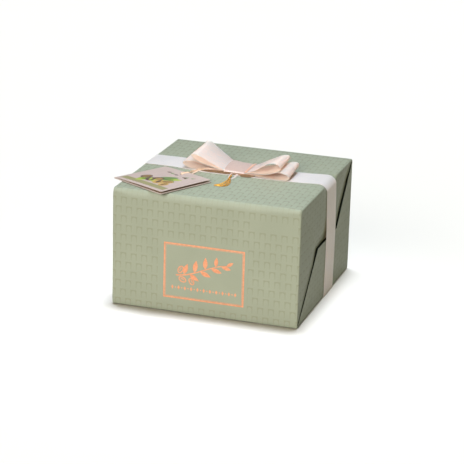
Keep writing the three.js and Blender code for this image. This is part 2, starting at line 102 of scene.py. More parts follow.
class Shell:
    """Gathers faces by their corner points, joins equal points, and makes one mesh of them."""

    def __init__(self):
        self.points = []
        self.places = {}
        self.faces = []

    def point(self, p):
        key = (round(p[0], 4), round(p[1], 4), round(p[2], 4))
        if key not in self.places:
            self.places[key] = len(self.points)
            self.points.append(Vector(p) * MM)
        return self.places[key]

    def face(self, corners, slot=0, flat=None):
        flat = flat or [(0.0, 0.0)] * len(corners)
        ids = [self.point(c) for c in corners]
        kept = [k for k in range(len(ids)) if ids[k] != ids[k - 1]]
        if len(kept) < 3 or len({ids[k] for k in kept}) < len(kept):
            return
        self.faces.append(([ids[k] for k in kept], slot, [flat[k] for k in kept]))

    def make(self, name, materials, map_name, sharp):
        mesh = bpy.data.meshes.new(name)
        mesh.from_pydata(self.points, [], [f[0] for f in self.faces])
        layer = mesh.uv_layers.new(name=map_name)
        for polygon, (_, slot, flat) in zip(mesh.polygons, self.faces):
            polygon.material_index = slot
            polygon.use_smooth = True
            for k, uv in zip(polygon.loop_indices, flat):
                layer.data[k].uv = uv
        for material in materials:
            mesh.materials.append(material)
        work = bmesh.new()
        work.from_mesh(mesh)
        bmesh.ops.recalc_face_normals(work, faces=work.faces)
        work.to_mesh(mesh)
        work.free()
        mesh.set_sharp_from_angle(angle=math.radians(sharp))
        piece = add(name, mesh)
        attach(piece, "root")
        return piece


def item_at(items, k, closed):
    """Item k, counted on round a closed row and held at the ends of an open one."""
    return items[k % len(items)] if closed else items[min(max(k, 0), len(items) - 1)]


def spline(points, steps, closed):
    """Points along a smooth line through the given ones, with the same share of each span at each step."""
    result = []
    for k in range(len(points) if closed else len(points) - 1):
        p0, p1, p2, p3 = (item_at(points, k + n, closed) for n in (-1, 0, 1, 2))
        t1 = max((p1 - p0).length, 1e-3) ** 0.5
        t2 = t1 + max((p2 - p1).length, 1e-3) ** 0.5
        t3 = t2 + max((p3 - p2).length, 1e-3) ** 0.5
        for step in range(steps):
            t = lerp(t1, t2, step / steps)
            a1 = lerp(p0, p1, t / t1)
            a2 = lerp(p1, p2, (t - t1) / (t2 - t1))
            a3 = lerp(p2, p3, (t - t2) / (t3 - t2))
            b1 = lerp(a1, a2, t / t2)
            b2 = lerp(a2, a3, (t - t1) / (t3 - t1))
            result.append(lerp(b1, b2, (t - t1) / (t2 - t1)))
    if not closed:
        result.append(points[-1].copy())
    return result


class Graph:
    """Short calls for building the nodes of a material or a world, with colours as red, green and blue."""

    def __init__(self, owner):
        owner.use_nodes = True
        self.owner = owner
        self.tree = owner.node_tree
        self.shader = self.tree.nodes.get("Principled BSDF")

    def feed(self, socket, value):
        if isinstance(value, bpy.types.NodeSocket):
            self.tree.links.new(value, socket)
        else:
            socket.default_value = value + (1.0,) if socket.type == "RGBA" else value

    def node(self, kind, feeds=None, **settings):
        """A new node with these settings, and with values or links fed to its sockets."""
        made = self.tree.nodes.new(kind)
        for key, value in settings.items():
            setattr(made, key, value)
        for socket, value in (feeds or {}).items():
            self.feed(made.inputs[socket], value)
        return made

    def math(self, operation, *values):
        return self.node("ShaderNodeMath", dict(enumerate(values)), operation=operation).outputs[0]

    def plus(self, a, b):
        return self.math("ADD", a, b)

    def minus(self, a, b):
        return self.math("SUBTRACT", a, b)

    def times(self, a, b):
        return self.math("MULTIPLY", a, b)

    def ramp(self, value, low, high, first=0.0, last=1.0):
        feeds = {"Value": value, "From Min": low, "From Max": high, "To Min": first, "To Max": last}
        return self.node("ShaderNodeMapRange", feeds, interpolation_type="SMOOTHSTEP").outputs["Result"]

    def mix(self, share, first, last, kind="MIX"):
        feeds = {0: share, 6: first, 7: last}
        return self.node("ShaderNodeMix", feeds, data_type="RGBA", blend_type=kind).outputs[2]

    def parts(self, vector):
        """The x, y and z of a vector."""
        return self.node("ShaderNodeSeparateXYZ", {0: vector}).outputs

    def facing(self):
        """The x, y and z of the way that the surface faces."""
        return self.parts(self.node("ShaderNodeNewGeometry").outputs["Normal"])

    def object_place(self):
        return self.node("ShaderNodeTexCoord").outputs["Object"]

    def flat(self, name):
        """The piece's own flat map, in millimetres, and its s and t."""
        place = self.node("ShaderNodeUVMap", uv_map=name).outputs[0]
        parts = self.parts(place)
        return place, parts[0], parts[1]

    def spread(self, x, y):
        return self.node("ShaderNodeCombineXYZ", {0: x, 1: y}).outputs[0]

    def grain(self, place, scale, detail=2.0, rough=0.5):
        feeds = {"Vector": place, "Scale": scale, "Detail": detail, "Roughness": rough}
        return self.node("ShaderNodeTexNoise", feeds).outputs["Fac"]

    def bump(self, height, strength, distance, after=None):
        feeds = {"Strength": strength, "Distance": distance, "Height": height}
        if after is not None:
            feeds["Normal"] = after
        return self.node("ShaderNodeBump", feeds).outputs[0]

    def set(self, **values):
        """Feeds the shader's sockets and gives back the material."""
        for name, value in values.items():
            self.feed(self.shader.inputs[name.replace("_", " ")], value)
        return self.owner


def material_graph(name):
    return Graph(bpy.data.materials.new(name))


# Materials

PRINT_TONE = (0.134, 0.130, 0.080)
ARCH_ROW, ARCH_PITCH = 11.05, 12.67
ARCH_HALF, ARCH_TALL, ARCH_OPENING = 3.62, 8.25, 2.45
ARCH_BAR = 1.15
ARCH_SOFT = 0.35
ARCH_START = (3.94, 0.46)
# Places on the front without arches: left, right, low, high
BARE_PLACES = ((-55.5, 51.5, 11.0, 87.5), (54.0, 103.0, 108.7, 120.8))


def paper_material():
    """Sage paper with rows of small arches, left out round the frame and at one bare place."""
    g = material_graph("sage_paper")
    place, s, t = g.flat("paper")
    lifted = g.minus(t, ARCH_START[1])
    row = g.math("FLOOR", g.math("DIVIDE", lifted, ARCH_ROW))
    up = g.minus(lifted, g.times(row, ARCH_ROW))
    odd = g.times(g.math("FLOORED_MODULO", row, 2.0), 0.5)
    across = g.plus(g.math("DIVIDE", g.minus(s, ARCH_START[0]), ARCH_PITCH), odd)
    x = g.times(g.minus(g.math("FRACT", across), 0.5), ARCH_PITCH)
    over_spring = g.math("MAXIMUM", g.minus(up, ARCH_TALL - ARCH_BAR - ARCH_OPENING), 0.0)
    reach = g.math("SQRT", g.plus(g.times(x, x), g.times(over_spring, over_spring)))
    body = g.math("MAXIMUM", g.minus(g.math("ABSOLUTE", x), ARCH_HALF), g.minus(up, ARCH_TALL))
    ink = g.times(g.ramp(body, -ARCH_SOFT, ARCH_SOFT, 1.0, 0.0),
                  g.ramp(reach, ARCH_OPENING - ARCH_SOFT, ARCH_OPENING + ARCH_SOFT))
    ink = g.times(ink, g.ramp(up, 0.0, ARCH_TALL, 0.5, 1.0))
    for left, right, low, high in BARE_PLACES:
        side, rise = (g.minus(g.math("ABSOLUTE", g.minus(way, (first + last) / 2)), (last - first) / 2)
                      for way, first, last in ((s, left, right), (t, low, high)))
        ink = g.times(ink, g.ramp(g.math("MAXIMUM", side, rise), -0.1, 0.1))
    fibre = g.grain(place, 0.9, 4.0, 0.65)
    cloud = g.grain(place, 0.03)
    # Painted highlight: the print fades out on faces that catch the light at a slant, and is set at two
    # thirds strength on upright faces
    level = g.facing()[2]
    ink_worn_and_highlit = g.times(ink, g.ramp(fibre, 0.2, 0.62, 0.72, 1.0))
    ink_worn_and_highlit = g.times(ink_worn_and_highlit, g.math("MAXIMUM", g.ramp(level, 0.05, 0.40, 0.66, 0.25), g.ramp(level, 0.85, 1.0)))
    ground = g.mix(g.ramp(cloud, 0.3, 0.7), (0.157, 0.164, 0.114), (0.166, 0.173, 0.121))
    ground = g.mix(g.ramp(fibre, 0.35, 0.75, 0.0, 0.35), ground, (0.181, 0.187, 0.133))
    rough = g.plus(g.plus(g.times(fibre, 0.16), 0.46), g.times(ink_worn_and_highlit, 0.10))
    tooth = g.bump(g.grain(place, 2.6, 3.0, 0.6), 0.25, 0.00006)
    normal = g.bump(g.grain(place, 0.05), 0.35, 0.0012, tooth)
    return g.set(Base_Color=g.mix(ink_worn_and_highlit, ground, PRINT_TONE), Roughness=rough, Normal=normal,
                 Specular_IOR_Level=0.18)


def fold_material():
    """Near-black inside of an open fold: painted shade, where hardly any light gets in."""
    g = material_graph("painted_fold_shade")
    fibre = g.grain(g.flat("paper")[0], 0.9, 4.0, 0.65)
    return g.set(Base_Color=g.mix(fibre, (0.009, 0.012, 0.008), (0.020, 0.025, 0.016)), Roughness=0.9,
                 Specular_IOR_Level=0.05)


def satin_material(name, light, deep, through, rough, shine, passing, upright_painted_sheen=None, turned=None):
    """Ribbon: fine threads along its length, a soft sheen, and a share of the light passing through.

    The upright tone is a lighter colour for the runs that stand on end: a painted sheen. The turned tone
    is painted shade, multiplied into the colour and the light let through where a loop turns over at its
    outer end, to the left or right of the bow's middle."""
    g = material_graph(name)
    place, s, t = g.flat("cloth")
    threads = g.grain(g.spread(g.times(s, 0.10), g.times(t, 4.2)), 1.0, 2.0, 0.6)
    picks = g.grain(g.spread(g.times(s, 2.6), g.times(t, 0.5)), 1.0, 1.0, 0.5)
    colour = g.mix(g.ramp(threads, 0.3, 0.7, 0.0, 0.55), light, deep)
    colour = g.mix(g.ramp(g.grain(place, 0.05), 0.35, 0.75, 0.0, 0.25), colour, deep)
    # Painted sheen: the runs that stand on end take the lighter upright tone.
    if upright_painted_sheen:
        level = g.math("ABSOLUTE", g.facing()[2])
        colour = g.mix(g.ramp(level, 0.2, 0.9, 1.0, 0.0), colour, upright_painted_sheen)
    # Painted shade: where the surface faces outward from the bow's middle, the turned tone is multiplied into
    # the colour and the light let through.
    if turned:
        outward = g.times(g.facing()[0], g.math("SIGN", g.parts(g.object_place())[0]))
        painted_turn_shade = g.ramp(outward, 0.05, 0.60)
        colour = g.mix(painted_turn_shade, colour, turned, "MULTIPLY")
        through = g.mix(painted_turn_shade, through, turned, "MULTIPLY")
    weave = g.bump(g.plus(threads, g.times(picks, 0.5)), 0.30, 0.00005)
    normal = g.bump(g.grain(place, 0.09), 0.35, 0.0007, weave)
    g.set(Base_Color=colour, Roughness=g.plus(g.times(threads, 0.12), rough - 0.06), Normal=normal,
          Specular_IOR_Level=shine, IOR=1.65)
    passed = g.mix(g.ramp(threads, 0.3, 0.7, 0.0, 0.35), through, deep)
    glow = g.node("ShaderNodeBsdfTranslucent", {"Color": passed, "Normal": normal})
    blend = g.node("ShaderNodeMixShader", {0: passing, 1: g.shader.outputs[0], 2: glow.outputs[0]})
    g.feed(g.tree.nodes["Material Output"].inputs["Surface"], blend.outputs[0])
    return g.owner


def metal_material(name, place, scale, low, high, rough, rough_spread, metallic, strength, distance):
    g = material_graph(name)
    place = g.flat(place)[0] if place else g.object_place()
    cloud = g.grain(place, scale, 3.0, 0.6)
    return g.set(Base_Color=g.mix(g.ramp(cloud, 0.3, 0.7), low, high), Metallic=metallic,
                 Roughness=g.plus(g.times(cloud, rough_spread), rough),
                 Normal=g.bump(cloud, strength, distance))


def card_material(name, low, high):
    g = material_graph(name)
    place = g.flat("card")[0]
    fibre = g.grain(place, 1.4, 4.0, 0.65)
    share = g.plus(g.times(fibre, 0.6), g.times(g.grain(place, 0.12), 0.4))
    return g.set(Base_Color=g.mix(g.ramp(share, 0.35, 0.65), low, high), Specular_IOR_Level=0.45,
                 Roughness=g.plus(g.times(fibre, 0.15), 0.42), Normal=g.bump(fibre, 0.2, 0.00005))


paper = paper_material()
# The inside of the ends' open folds is painted near-black: painted shade.
paper_fold_painted_shade = fold_material()
# Satins: name, two tones of the threads, the light let through, roughness, shine and share passing
LET_THROUGH = (1.0, 0.85, 0.75)
# The pink satin takes a multiplied painted shade where the loops turn over at their outer ends.
satin = satin_material(
    "pink_satin", (0.300, 0.829, 0.999), (0.260, 0.739, 0.927), (1.0, 0.80, 0.71), 0.32, 1.0, 0.87,
    turned=(0.84, 0.74, 0.71))
# The band's upright runs take a lighter tone: painted sheen.
satin_band = satin_material(
    "band_satin", (0.521, 0.537, 0.541), (0.491, 0.496, 0.492), LET_THROUGH, 0.40, 0.6, 0.50,
    upright_painted_sheen=(0.696, 0.661, 0.643))
satin_back = satin_material(
    "satin_back", (0.99, 0.86, 0.76), (0.97, 0.79, 0.66), LET_THROUGH, 0.5, 0.4, 0.66)
# The wrap over the bow's middle: a darker, browner copy of the pink satin, painted shade.
satin_wrap_painted_shade = satin_material(
    "wrap_satin_painted_shade", (0.381, 0.262, 0.211), (0.339, 0.224, 0.179), (0.85, 0.55, 0.40), 0.30, 1.0, 0.25)
# The wrap's turned edge: a darker orange copy of the satin's back, painted shade.
satin_turn_painted_shade = satin_material(
    "turned_satin_painted_shade", (0.540, 0.300, 0.200), (0.500, 0.268, 0.172), (0.90, 0.55, 0.38), 0.34, 0.8, 0.25)
# The ribbon edge under the wrap's front: a dark orange copy of the satin, painted shade.
satin_knot_painted_shade = satin_material(
    "knot_edge_painted_shade", (0.300, 0.140, 0.066), (0.262, 0.116, 0.052), (0.70, 0.38, 0.20), 0.5, 0.3, 0.15)
# Dark brown satin for the strips under the bow's front edge: painted shadow.
satin_painted_shadow = satin_material(
    "painted_shadow_under_bow", (0.108, 0.053, 0.016), (0.085, 0.040, 0.013), (0.30, 0.14, 0.05), 0.6, 0.2, 0.05)
narrow_peach = satin_material(
    "narrow_peach", (0.662, 0.479, 0.352), (0.603, 0.413, 0.280), (0.85, 0.60, 0.42), 0.4, 0.6, 0.30)
narrow_pale = satin_material(
    "narrow_pale", (0.424, 0.343, 0.305), (0.389, 0.304, 0.262), (0.90, 0.76, 0.66), 0.5, 0.3, 0.30)
foil = metal_material("copper_foil", "paper", 0.35, (0.384, 0.147, 0.067), (0.482, 0.196, 0.098),
                      0.42, 0.2, 0.55, 0.2, 0.0002)
gold = metal_material("charm_gold", None, 260.0, (0.500, 0.223, 0.025), (0.625, 0.312, 0.045),
                      0.38, 0.22, 1.0, 0.3, 0.0004)
card_front, card_inside_painted_shade, card_edge, ink_stripe, ink_leaf, ink_lime, ink_shell, ink_brown = (
    card_material(*tones) for tones in (
        ("card_print_ground", (0.239, 0.176, 0.146), (0.262, 0.194, 0.163)),
        # Dark brown inside faces, so the gap between the tag's two leaves reads dark: painted shade.
        ("card_inside_painted_shade", (0.226, 0.121, 0.060), (0.278, 0.156, 0.083)),
        ("card_edge", (0.260, 0.198, 0.158), (0.298, 0.227, 0.181)),
        ("ink_pale_green", (0.132, 0.113, 0.041), (0.150, 0.130, 0.050)),
        ("ink_leaf_green", (0.055, 0.089, 0.020), (0.087, 0.134, 0.032)),
        ("ink_lime", (0.152, 0.192, 0.009), (0.201, 0.241, 0.021)),
        ("ink_shell_gold", (0.187, 0.103, 0.014), (0.286, 0.170, 0.040)),
        ("ink_brown", (0.031, 0.010, 0.004), (0.060, 0.022, 0.012))))


# The wrapping paper

def arc(cx, cz, radius, first, last, steps=3):
    """Points of a rounding between two angles in degrees, each with its way outward: (x, z, nx, nz)."""
    angles = [math.radians(lerp(first, last, k / steps)) for k in range(steps + 1)]
    return [(cx + radius * math.cos(a), cz + radius * math.sin(a), math.cos(a), math.sin(a)) for a in angles]


def girth():
    """The pack's outline across, in four sides from the front's foot: (y, z, ny, nz, t)."""
    inner = [-104 + 4 * k for k in range(53)]
    for low, high in ((-4.6, -2.6), (38.6, 40.6)):
        inner = [y for y in inner if not low - 1.5 < y < high + 1.5]
        inner += [low, (low + high) / 2, high]
    inner.sort()
    rises = [4 + 3.9 * k for k in range(34)]

    def front_edge(first, last, steps=5):
        """The top front edge, which rounds over further down the front than back on the top."""
        points = []
        for k in range(steps + 1):
            a = math.radians(lerp(first, last, k / steps))
            c, s = math.cos(a), math.sin(a)
            way = Vector((c / FRONT_RADIUS, s / FRONT_DROP)).normalized()
            points.append((-HALF + FRONT_RADIUS + FRONT_RADIUS * c, top_z + FRONT_DROP * s, way.x, way.y))
        return points

    top_z = HEIGHT - FRONT_DROP
    front = arc(-HALF + BASE_RADIUS, BASE_RADIUS, BASE_RADIUS, 225, 180)
    front += [(-HALF, z, -1.0, 0.0) for z in rises if BASE_RADIUS + 1 < z < top_z - 1]
    front += front_edge(180, 130)
    top = front_edge(130, 90)
    top += [(y, HEIGHT, 0.0, 1.0) for y in inner]
    top += arc(HALF - BACK_RADIUS, HEIGHT - BACK_RADIUS, BACK_RADIUS, 90, 45, 4)
    back = arc(HALF - BACK_RADIUS, HEIGHT - BACK_RADIUS, BACK_RADIUS, 45, 0, 4)
    back += [(HALF, z, 1.0, 0.0) for z in reversed(rises) if BASE_RADIUS + 1 < z < HEIGHT - BACK_RADIUS - 1]
    back += arc(HALF - BASE_RADIUS, BASE_RADIUS, BASE_RADIUS, 0, -45)
    base = arc(HALF - BASE_RADIUS, BASE_RADIUS, BASE_RADIUS, -45, -90, 4)
    base += [(y, 0.0, 0.0, -1.0) for y in reversed(inner)]
    base += arc(-HALF + BASE_RADIUS, BASE_RADIUS, BASE_RADIUS, -90, -135, 4)
    sides = []
    t = BASE_RADIUS - BASE_RADIUS * math.pi / 4
    before = front[0]
    for side in (front, top, back, base):
        placed = []
        for point in side:
            t += math.hypot(point[0] - before[0], point[1] - before[1])
            before = point
            placed.append(point + (t,))
        sides.append(placed)
    return sides, t


def crown(x, y):
    """How far the top stands up in its middle."""
    return CROWN * max(0.0, 1 - (x / HALF) ** 2) * max(0.0, 1 - (y / HALF) ** 2)


def corner_pull(x, y, z):
    """Rounds the right end's top edge where the ribbon pulls over it."""
    pull = smooth(-17.0, -8.0, y) * (1 - smooth(33.0, 42.0, y)) if x > 0 else 0.0
    radius = lerp(END_RADIUS, 9.5, pull)
    cx, cz = HALF - radius, HEIGHT - radius
    dx, dz = abs(x) - cx, z - cz
    if pull > 0 and dx > 0 and dz > 0:
        far = math.hypot(dx, dz)
        if far > radius:
            dx, dz = dx * radius / far, dz * radius / far
            return cx + dx, y, cz + dz
    return x, y, z


def base_groove(x, y, z):
    """Room for the ribbon under the base."""
    across = abs(y - BAND_BASE)
    rise = 0.8 * (1 - smooth(20.4, 22.6, across))
    return x, y, max(z, rise) if z < 1.5 else z


def sleeve_point(x, point):
    """A point of the paper round the pack, with its crown and slow waves."""
    y, z, ny, nz, t = point
    edge = 1 - smooth(HALF - 14, HALF, abs(x))
    out = 0.0
    if nz > 0.9:
        out = crown(x, y) + 0.16 * ripple(x, y, 38, 1) * edge * (1 - smooth(80, 106, abs(y)))
    elif ny < -0.9:
        rise = 1 - smooth(45, 68, abs(z - 70))
        out = (0.35 * (1 - (x / HALF) ** 2) + 0.20 * ripple(x, z, 42, 2) * edge) * rise
    elif ny > 0.9:
        rise = 1 - smooth(45, 68, abs(z - 70))
        out = (0.3 * (1 - (x / HALF) ** 2) + 0.25 * ripple(x, z, 36, 3) * edge) * rise
    return x, y + ny * out, z + nz * out


def end_edge(x, y, z):
    """The top front edge rounds over more tightly near the pack's ends."""
    share = smooth(HALF - 22, HALF - 3, abs(x))
    if share == 0 or y > -HALF + FRONT_RADIUS or z < HEIGHT - FRONT_DROP:
        return x, y, z
    over_edge = min(max(z - (HEIGHT - FRONT_RADIUS), 0.0), FRONT_RADIUS)
    tight = -HALF + FRONT_RADIUS - math.sqrt(FRONT_RADIUS ** 2 - over_edge ** 2)
    return x, lerp(y, min(y, tight), share), z


FOLD_SHARES = (0.36, 0.64)
FOLD_LINE = [(-HALF, 0.0, 0.0), (FOLD_FRONT, FOLD_LEVEL, FOLD_SHARES[0]),
             (FOLD_BACK, FOLD_LEVEL, FOLD_SHARES[1]), (HALF, HEIGHT, 1.0)]


def nearest_fold(y, z):
    """Distance to the end's open fold line, and how far along it (0 and 1 at the pack's corners)."""
    best = (1e9, 0.0)
    for (ya, za, sa), (yb, zb, sb) in zip(FOLD_LINE, FOLD_LINE[1:]):
        dy, dz = yb - ya, zb - za
        k = min(max(((y - ya) * dy + (z - za) * dz) / (dy * dy + dz * dz), 0.0), 1.0)
        far = math.hypot(y - ya - k * dy, z - za - k * dz)
        if far < best[0]:
            best = (far, lerp(sa, sb, k))
    return best


def fold_depth(share):
    """How deep the under layer lies below the outer one along the open fold."""
    return table([(0.0, 0.0), (0.02, 0.75), (0.14, 1.05), (0.28, 1.25), (0.36, 2.4), (0.44, 2.9),
                  (0.55, 2.2), (0.64, 2.0), (0.76, 2.3), (0.88, 2.0), (0.96, 1.0), (1.0, 0.0)], share)


# The cut edge of the outer layer: its thickness, and how far the two layers are seen to go in under it
FOLD_STOCK = 0.16
FOLD_REACH = 3.5


def end_sink(y, z, outer_layer):
    """How far an end's paper lies inside its plane."""
    far, share = nearest_fold(y, z)
    depth = fold_depth(share)
    rim = smooth(0, 12, min(HALF - abs(y), z, HEIGHT - z))
    if outer_layer:
        return -0.25 * min(1.0, depth) * math.exp(-(far / 12) ** 2) + 0.12 * ripple(y, z, 30, 5) * rim
    return depth * math.exp(-(far / 17) ** 2) + 0.14 * ripple(y, z, 30, 4) * rim * smooth(0, 25, far)


def end_flat(side, y, z):
    """Flat map place of a point on an end, in the panel that it belongs to."""
    start = HALF - END_RADIUS + END_RADIUS * math.pi / 2
    t_top = HEIGHT - FRONT_SAVED + (y + HALF)
    t_back = HEIGHT + 2 * HALF - FRONT_SAVED - EDGE_SAVES * BACK_RADIUS + (HEIGHT - z)
    t_base = 2 * (HEIGHT + HALF) - FRONT_SAVED - EDGE_SAVES * (BACK_RADIUS + BASE_RADIUS) + (HALF - y)
    return {
        0: (start + (y + HALF), z),
        1: (start + (HEIGHT - z), t_top),
        2: (start + (HALF - y), t_back),
        3: (start + z, t_base),
    }[side]


def build_wrap():
    shell = Shell()
    sides, total = girth()
    # Places along the pack, closer together near its ends
    stations = [-HALF + END_RADIUS]
    for step, stop in ((1.0, -99.0), (3.0, 99.0), (1.0, HALF - END_RADIUS)):
        while stations[-1] + step < stop - 0.2:
            stations.append(stations[-1] + step)
        stations.append(stop)
    bevel = 4

    def shaped(x, point):
        return base_groove(*corner_pull(*end_edge(*sleeve_point(x, point))))

    def bevel_point(sign, point, k):
        a = math.radians(90 * k / bevel)
        y, z, ny, nz, t = point
        inset = END_RADIUS * (1 - math.cos(a))
        x = sign * (HALF - END_RADIUS + END_RADIUS * math.sin(a))
        return base_groove(*corner_pull(x, y - ny * inset, z - nz * inset))

    for number, side in enumerate(sides):
        for a, b in zip(side, side[1:]):
            turn = -total if number == 3 and (a[0] + b[0]) / 2 < -60 else 0.0
            for xa, xb in zip(stations, stations[1:]):
                shell.face([shaped(xa, a), shaped(xb, a), shaped(xb, b), shaped(xa, b)], 0,
                           [(xa, a[4] + turn), (xb, a[4] + turn), (xb, b[4] + turn), (xa, b[4] + turn)])
            for sign in (-1, 1):
                for k in range(bevel):
                    s0 = sign * (HALF - END_RADIUS + END_RADIUS * math.pi / 2 * k / bevel)
                    s1 = sign * (HALF - END_RADIUS + END_RADIUS * math.pi / 2 * (k + 1) / bevel)
                    shell.face([bevel_point(sign, a, k), bevel_point(sign, a, k + 1),
                                bevel_point(sign, b, k + 1), bevel_point(sign, b, k)], 0,
                               [(s0, a[4] + turn), (s1, a[4] + turn), (s1, b[4] + turn), (s0, b[4] + turn)])
    # Shares of the way from an end's edge in to its fold
    rings = [0, 0.012, 0.028, 0.05, 0.075, 0.105, 0.14, 0.18, 0.225, 0.275, 0.325, 0.375, 0.425, 0.475,
             0.525, 0.575, 0.625, 0.675, 0.725, 0.77, 0.81, 0.85, 0.885, 0.92, 0.95, 0.975, 1.0]
    for sign in (-1, 1):
        build_end(shell, sides, rings, sign)
    return shell.make("gift_wrap", [paper, paper_fold_painted_shade], "paper", sharp=50)


def build_end(shell, sides, rings, sign):
    """One folded end: the front and top panels lie under the back and base panels."""
    def target(number, k, count):
        if number in (0, 2):
            return FOLD_FRONT if number == 0 else FOLD_BACK
        share = k / (count - 1)
        return lerp(FOLD_FRONT, FOLD_BACK, share if number == 1 else 1 - share)

    def place(y, z, outer_layer, ring):
        if ring == 0:
            return base_groove(*corner_pull(sign * HALF, y, z))
        sink = end_sink(y, z, outer_layer) * smooth(0, 0.03, rings[ring])
        return corner_pull(sign * (HALF - sink), y, z)

    grids = []
    for number, side in enumerate(sides):
        columns = []
        for k, (oy, oz, ny, nz, t) in enumerate(side):
            oy, oz = oy - ny * END_RADIUS, oz - nz * END_RADIUS
            creased = k < 3 if number in (1, 3) else k > len(side) - 4
            ty = target(number, k, len(side))
            column = []
            for ring, share in enumerate(rings):
                y, z = lerp(oy, ty, share), lerp(oz, FOLD_LEVEL, share)
                crease = 0.12 * smooth(0, 0.1, share) if creased else 0.0
                x, py, pz = place(y, z, number in (2, 3), ring)
                s, t = end_flat(number, y, z)
                column.append(((x + sign * crease, py, pz), (sign * s, t), (y, z)))
            columns.append(column)
        grids.append(columns)
        for ca, cb in zip(columns, columns[1:]):
            for ring in range(len(rings) - 1):
                quad = [ca[ring], ca[ring + 1], cb[ring + 1], cb[ring]]
                shell.face([q[0] for q in quad], 0, [q[1] for q in quad])
    # The open fold: under layer on one side, outer layer with its cut edge on the other
    under = grids[0][0] + [column[-1] for column in grids[1]][1:] + grids[1][-1][-2::-1]
    outer = grids[3][-1] + [column[-1] for column in reversed(grids[3])][1:] + grids[2][0][-2::-1]
    lips = []
    for k, (low, high) in enumerate(zip(under, outer)):
        share = nearest_fold(*low[2])[1]
        open_share = min(1.0, fold_depth(share) / 0.4) * (0.0 if k in (0, len(under) - 1) else 1.0)
        stock = min(FOLD_STOCK, 0.6 * abs(low[0][0] - high[0][0])) * open_share
        if share < FOLD_SHARES[0]:
            way = Vector((FOLD_LEVEL, -(FOLD_FRONT + HALF))).normalized()
        elif share > FOLD_SHARES[1]:
            way = Vector((HEIGHT - FOLD_LEVEL, -(HALF - FOLD_BACK))).normalized()
        else:
            way = Vector((0.0, -1.0))
        reach = FOLD_REACH * open_share
        inner = (low[0][1] + way.x * reach, low[0][2] + way.y * reach)
        cut = high[0][0] - sign * stock
        lips.append([high[0], (cut, *high[0][1:]), (cut, *inner), (low[0][0], *inner), low[0]])
    # The lip faces past the cut edge take the near-black painted fold shade (slot 1).
    for a, b in zip(lips, lips[1:]):
        for k in range(4):
            shell.face([a[k], a[k + 1], b[k + 1], b[k]], 1 if k else 0, [under[0][1]] * 4)


wrap = build_wrap()
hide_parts("wrapped_pack")


# Ribbons

def ribbon(name, rows, thickness, closed, materials):
    """A thin closed solid from rows of points on the ribbon's outer face.

    It is half as thick at its edges. A second material goes on its inner face."""
    count, width = len(rows), len(rows[0])
    shell = Shell()
    inner = []
    for i in range(count):
        line = []
        for j in range(width):
            along = item_at(rows, i + 1, closed)[j] - item_at(rows, i - 1, closed)[j]
            across = item_at(rows[i], j + 1, False) - item_at(rows[i], j - 1, False)
            normal = along.cross(across).normalized()
            share = 0.5 if j in (0, width - 1) else 1.0
            line.append(rows[i][j] - normal * thickness * share)
        inner.append(line)
    middle = width // 2
    along_at = [0.0]
    for i in range(1, count + 1):
        step = item_at(rows, i, closed)[middle] - rows[i - 1][middle]
        along_at.append(along_at[-1] + step.length)
    across_at = [0.0]
    for j in range(1, width):
        across_at.append(across_at[-1] + (rows[0][j] - rows[0][j - 1]).length)
    for i in range(count if closed else count - 1):
        n = (i + 1) % count
        for j in range(width - 1):
            flat = [(along_at[i], across_at[j]), (along_at[i + 1], across_at[j]),
                    (along_at[i + 1], across_at[j + 1]), (along_at[i], across_at[j + 1])]
            shell.face([rows[i][j], rows[n][j], rows[n][j + 1], rows[i][j + 1]], 0, flat)
            shell.face([inner[i][j + 1], inner[n][j + 1], inner[n][j], inner[i][j]], len(materials) - 1,
                       [flat[3], flat[2], flat[1], flat[0]])
        for j, order in ((0, 1), (width - 1, -1)):
            quad = [inner[i][j], inner[n][j], rows[n][j], rows[i][j]][::order]
            flat = [(along_at[i], across_at[j]), (along_at[i + 1], across_at[j]),
                    (along_at[i + 1], across_at[j]), (along_at[i], across_at[j])][::order]
            shell.face(quad, 0, flat)
    if not closed:
        for i in (0, count - 1):
            for j in range(width - 1):
                flat = [(along_at[i], across_at[j]), (along_at[i], across_at[j + 1])]
                shell.face([rows[i][j], rows[i][j + 1], inner[i][j + 1], inner[i][j]], 0, flat + flat[::-1])
    return shell.make(name, materials, "cloth", sharp=40)


# Height above which the ribbon bends over to the top, and where its middle line is there
BAND_TURN = HEIGHT - 12
BAND_AT_TURN = 14.8


def band_middle_on_end(z):
    """Where the ribbon's middle line runs on the ends."""
    return table([(0, BAND_BASE), (20, 18.3), (45, 19.3), (75, 19.6), (108, 16.8),
                  (BAND_TURN, BAND_AT_TURN)], z)


def band_middle(x):
    """Where the ribbon's middle line runs on the top."""
    return table([(-111, 12.5), (-80, 12.6), (-54, 9.2), (-34, 4.9), (-14, 4.3), (8, 5.5), (50, 5.4),
                  (78, 8.0), (100, 11.0), (111, 12.0)], x)


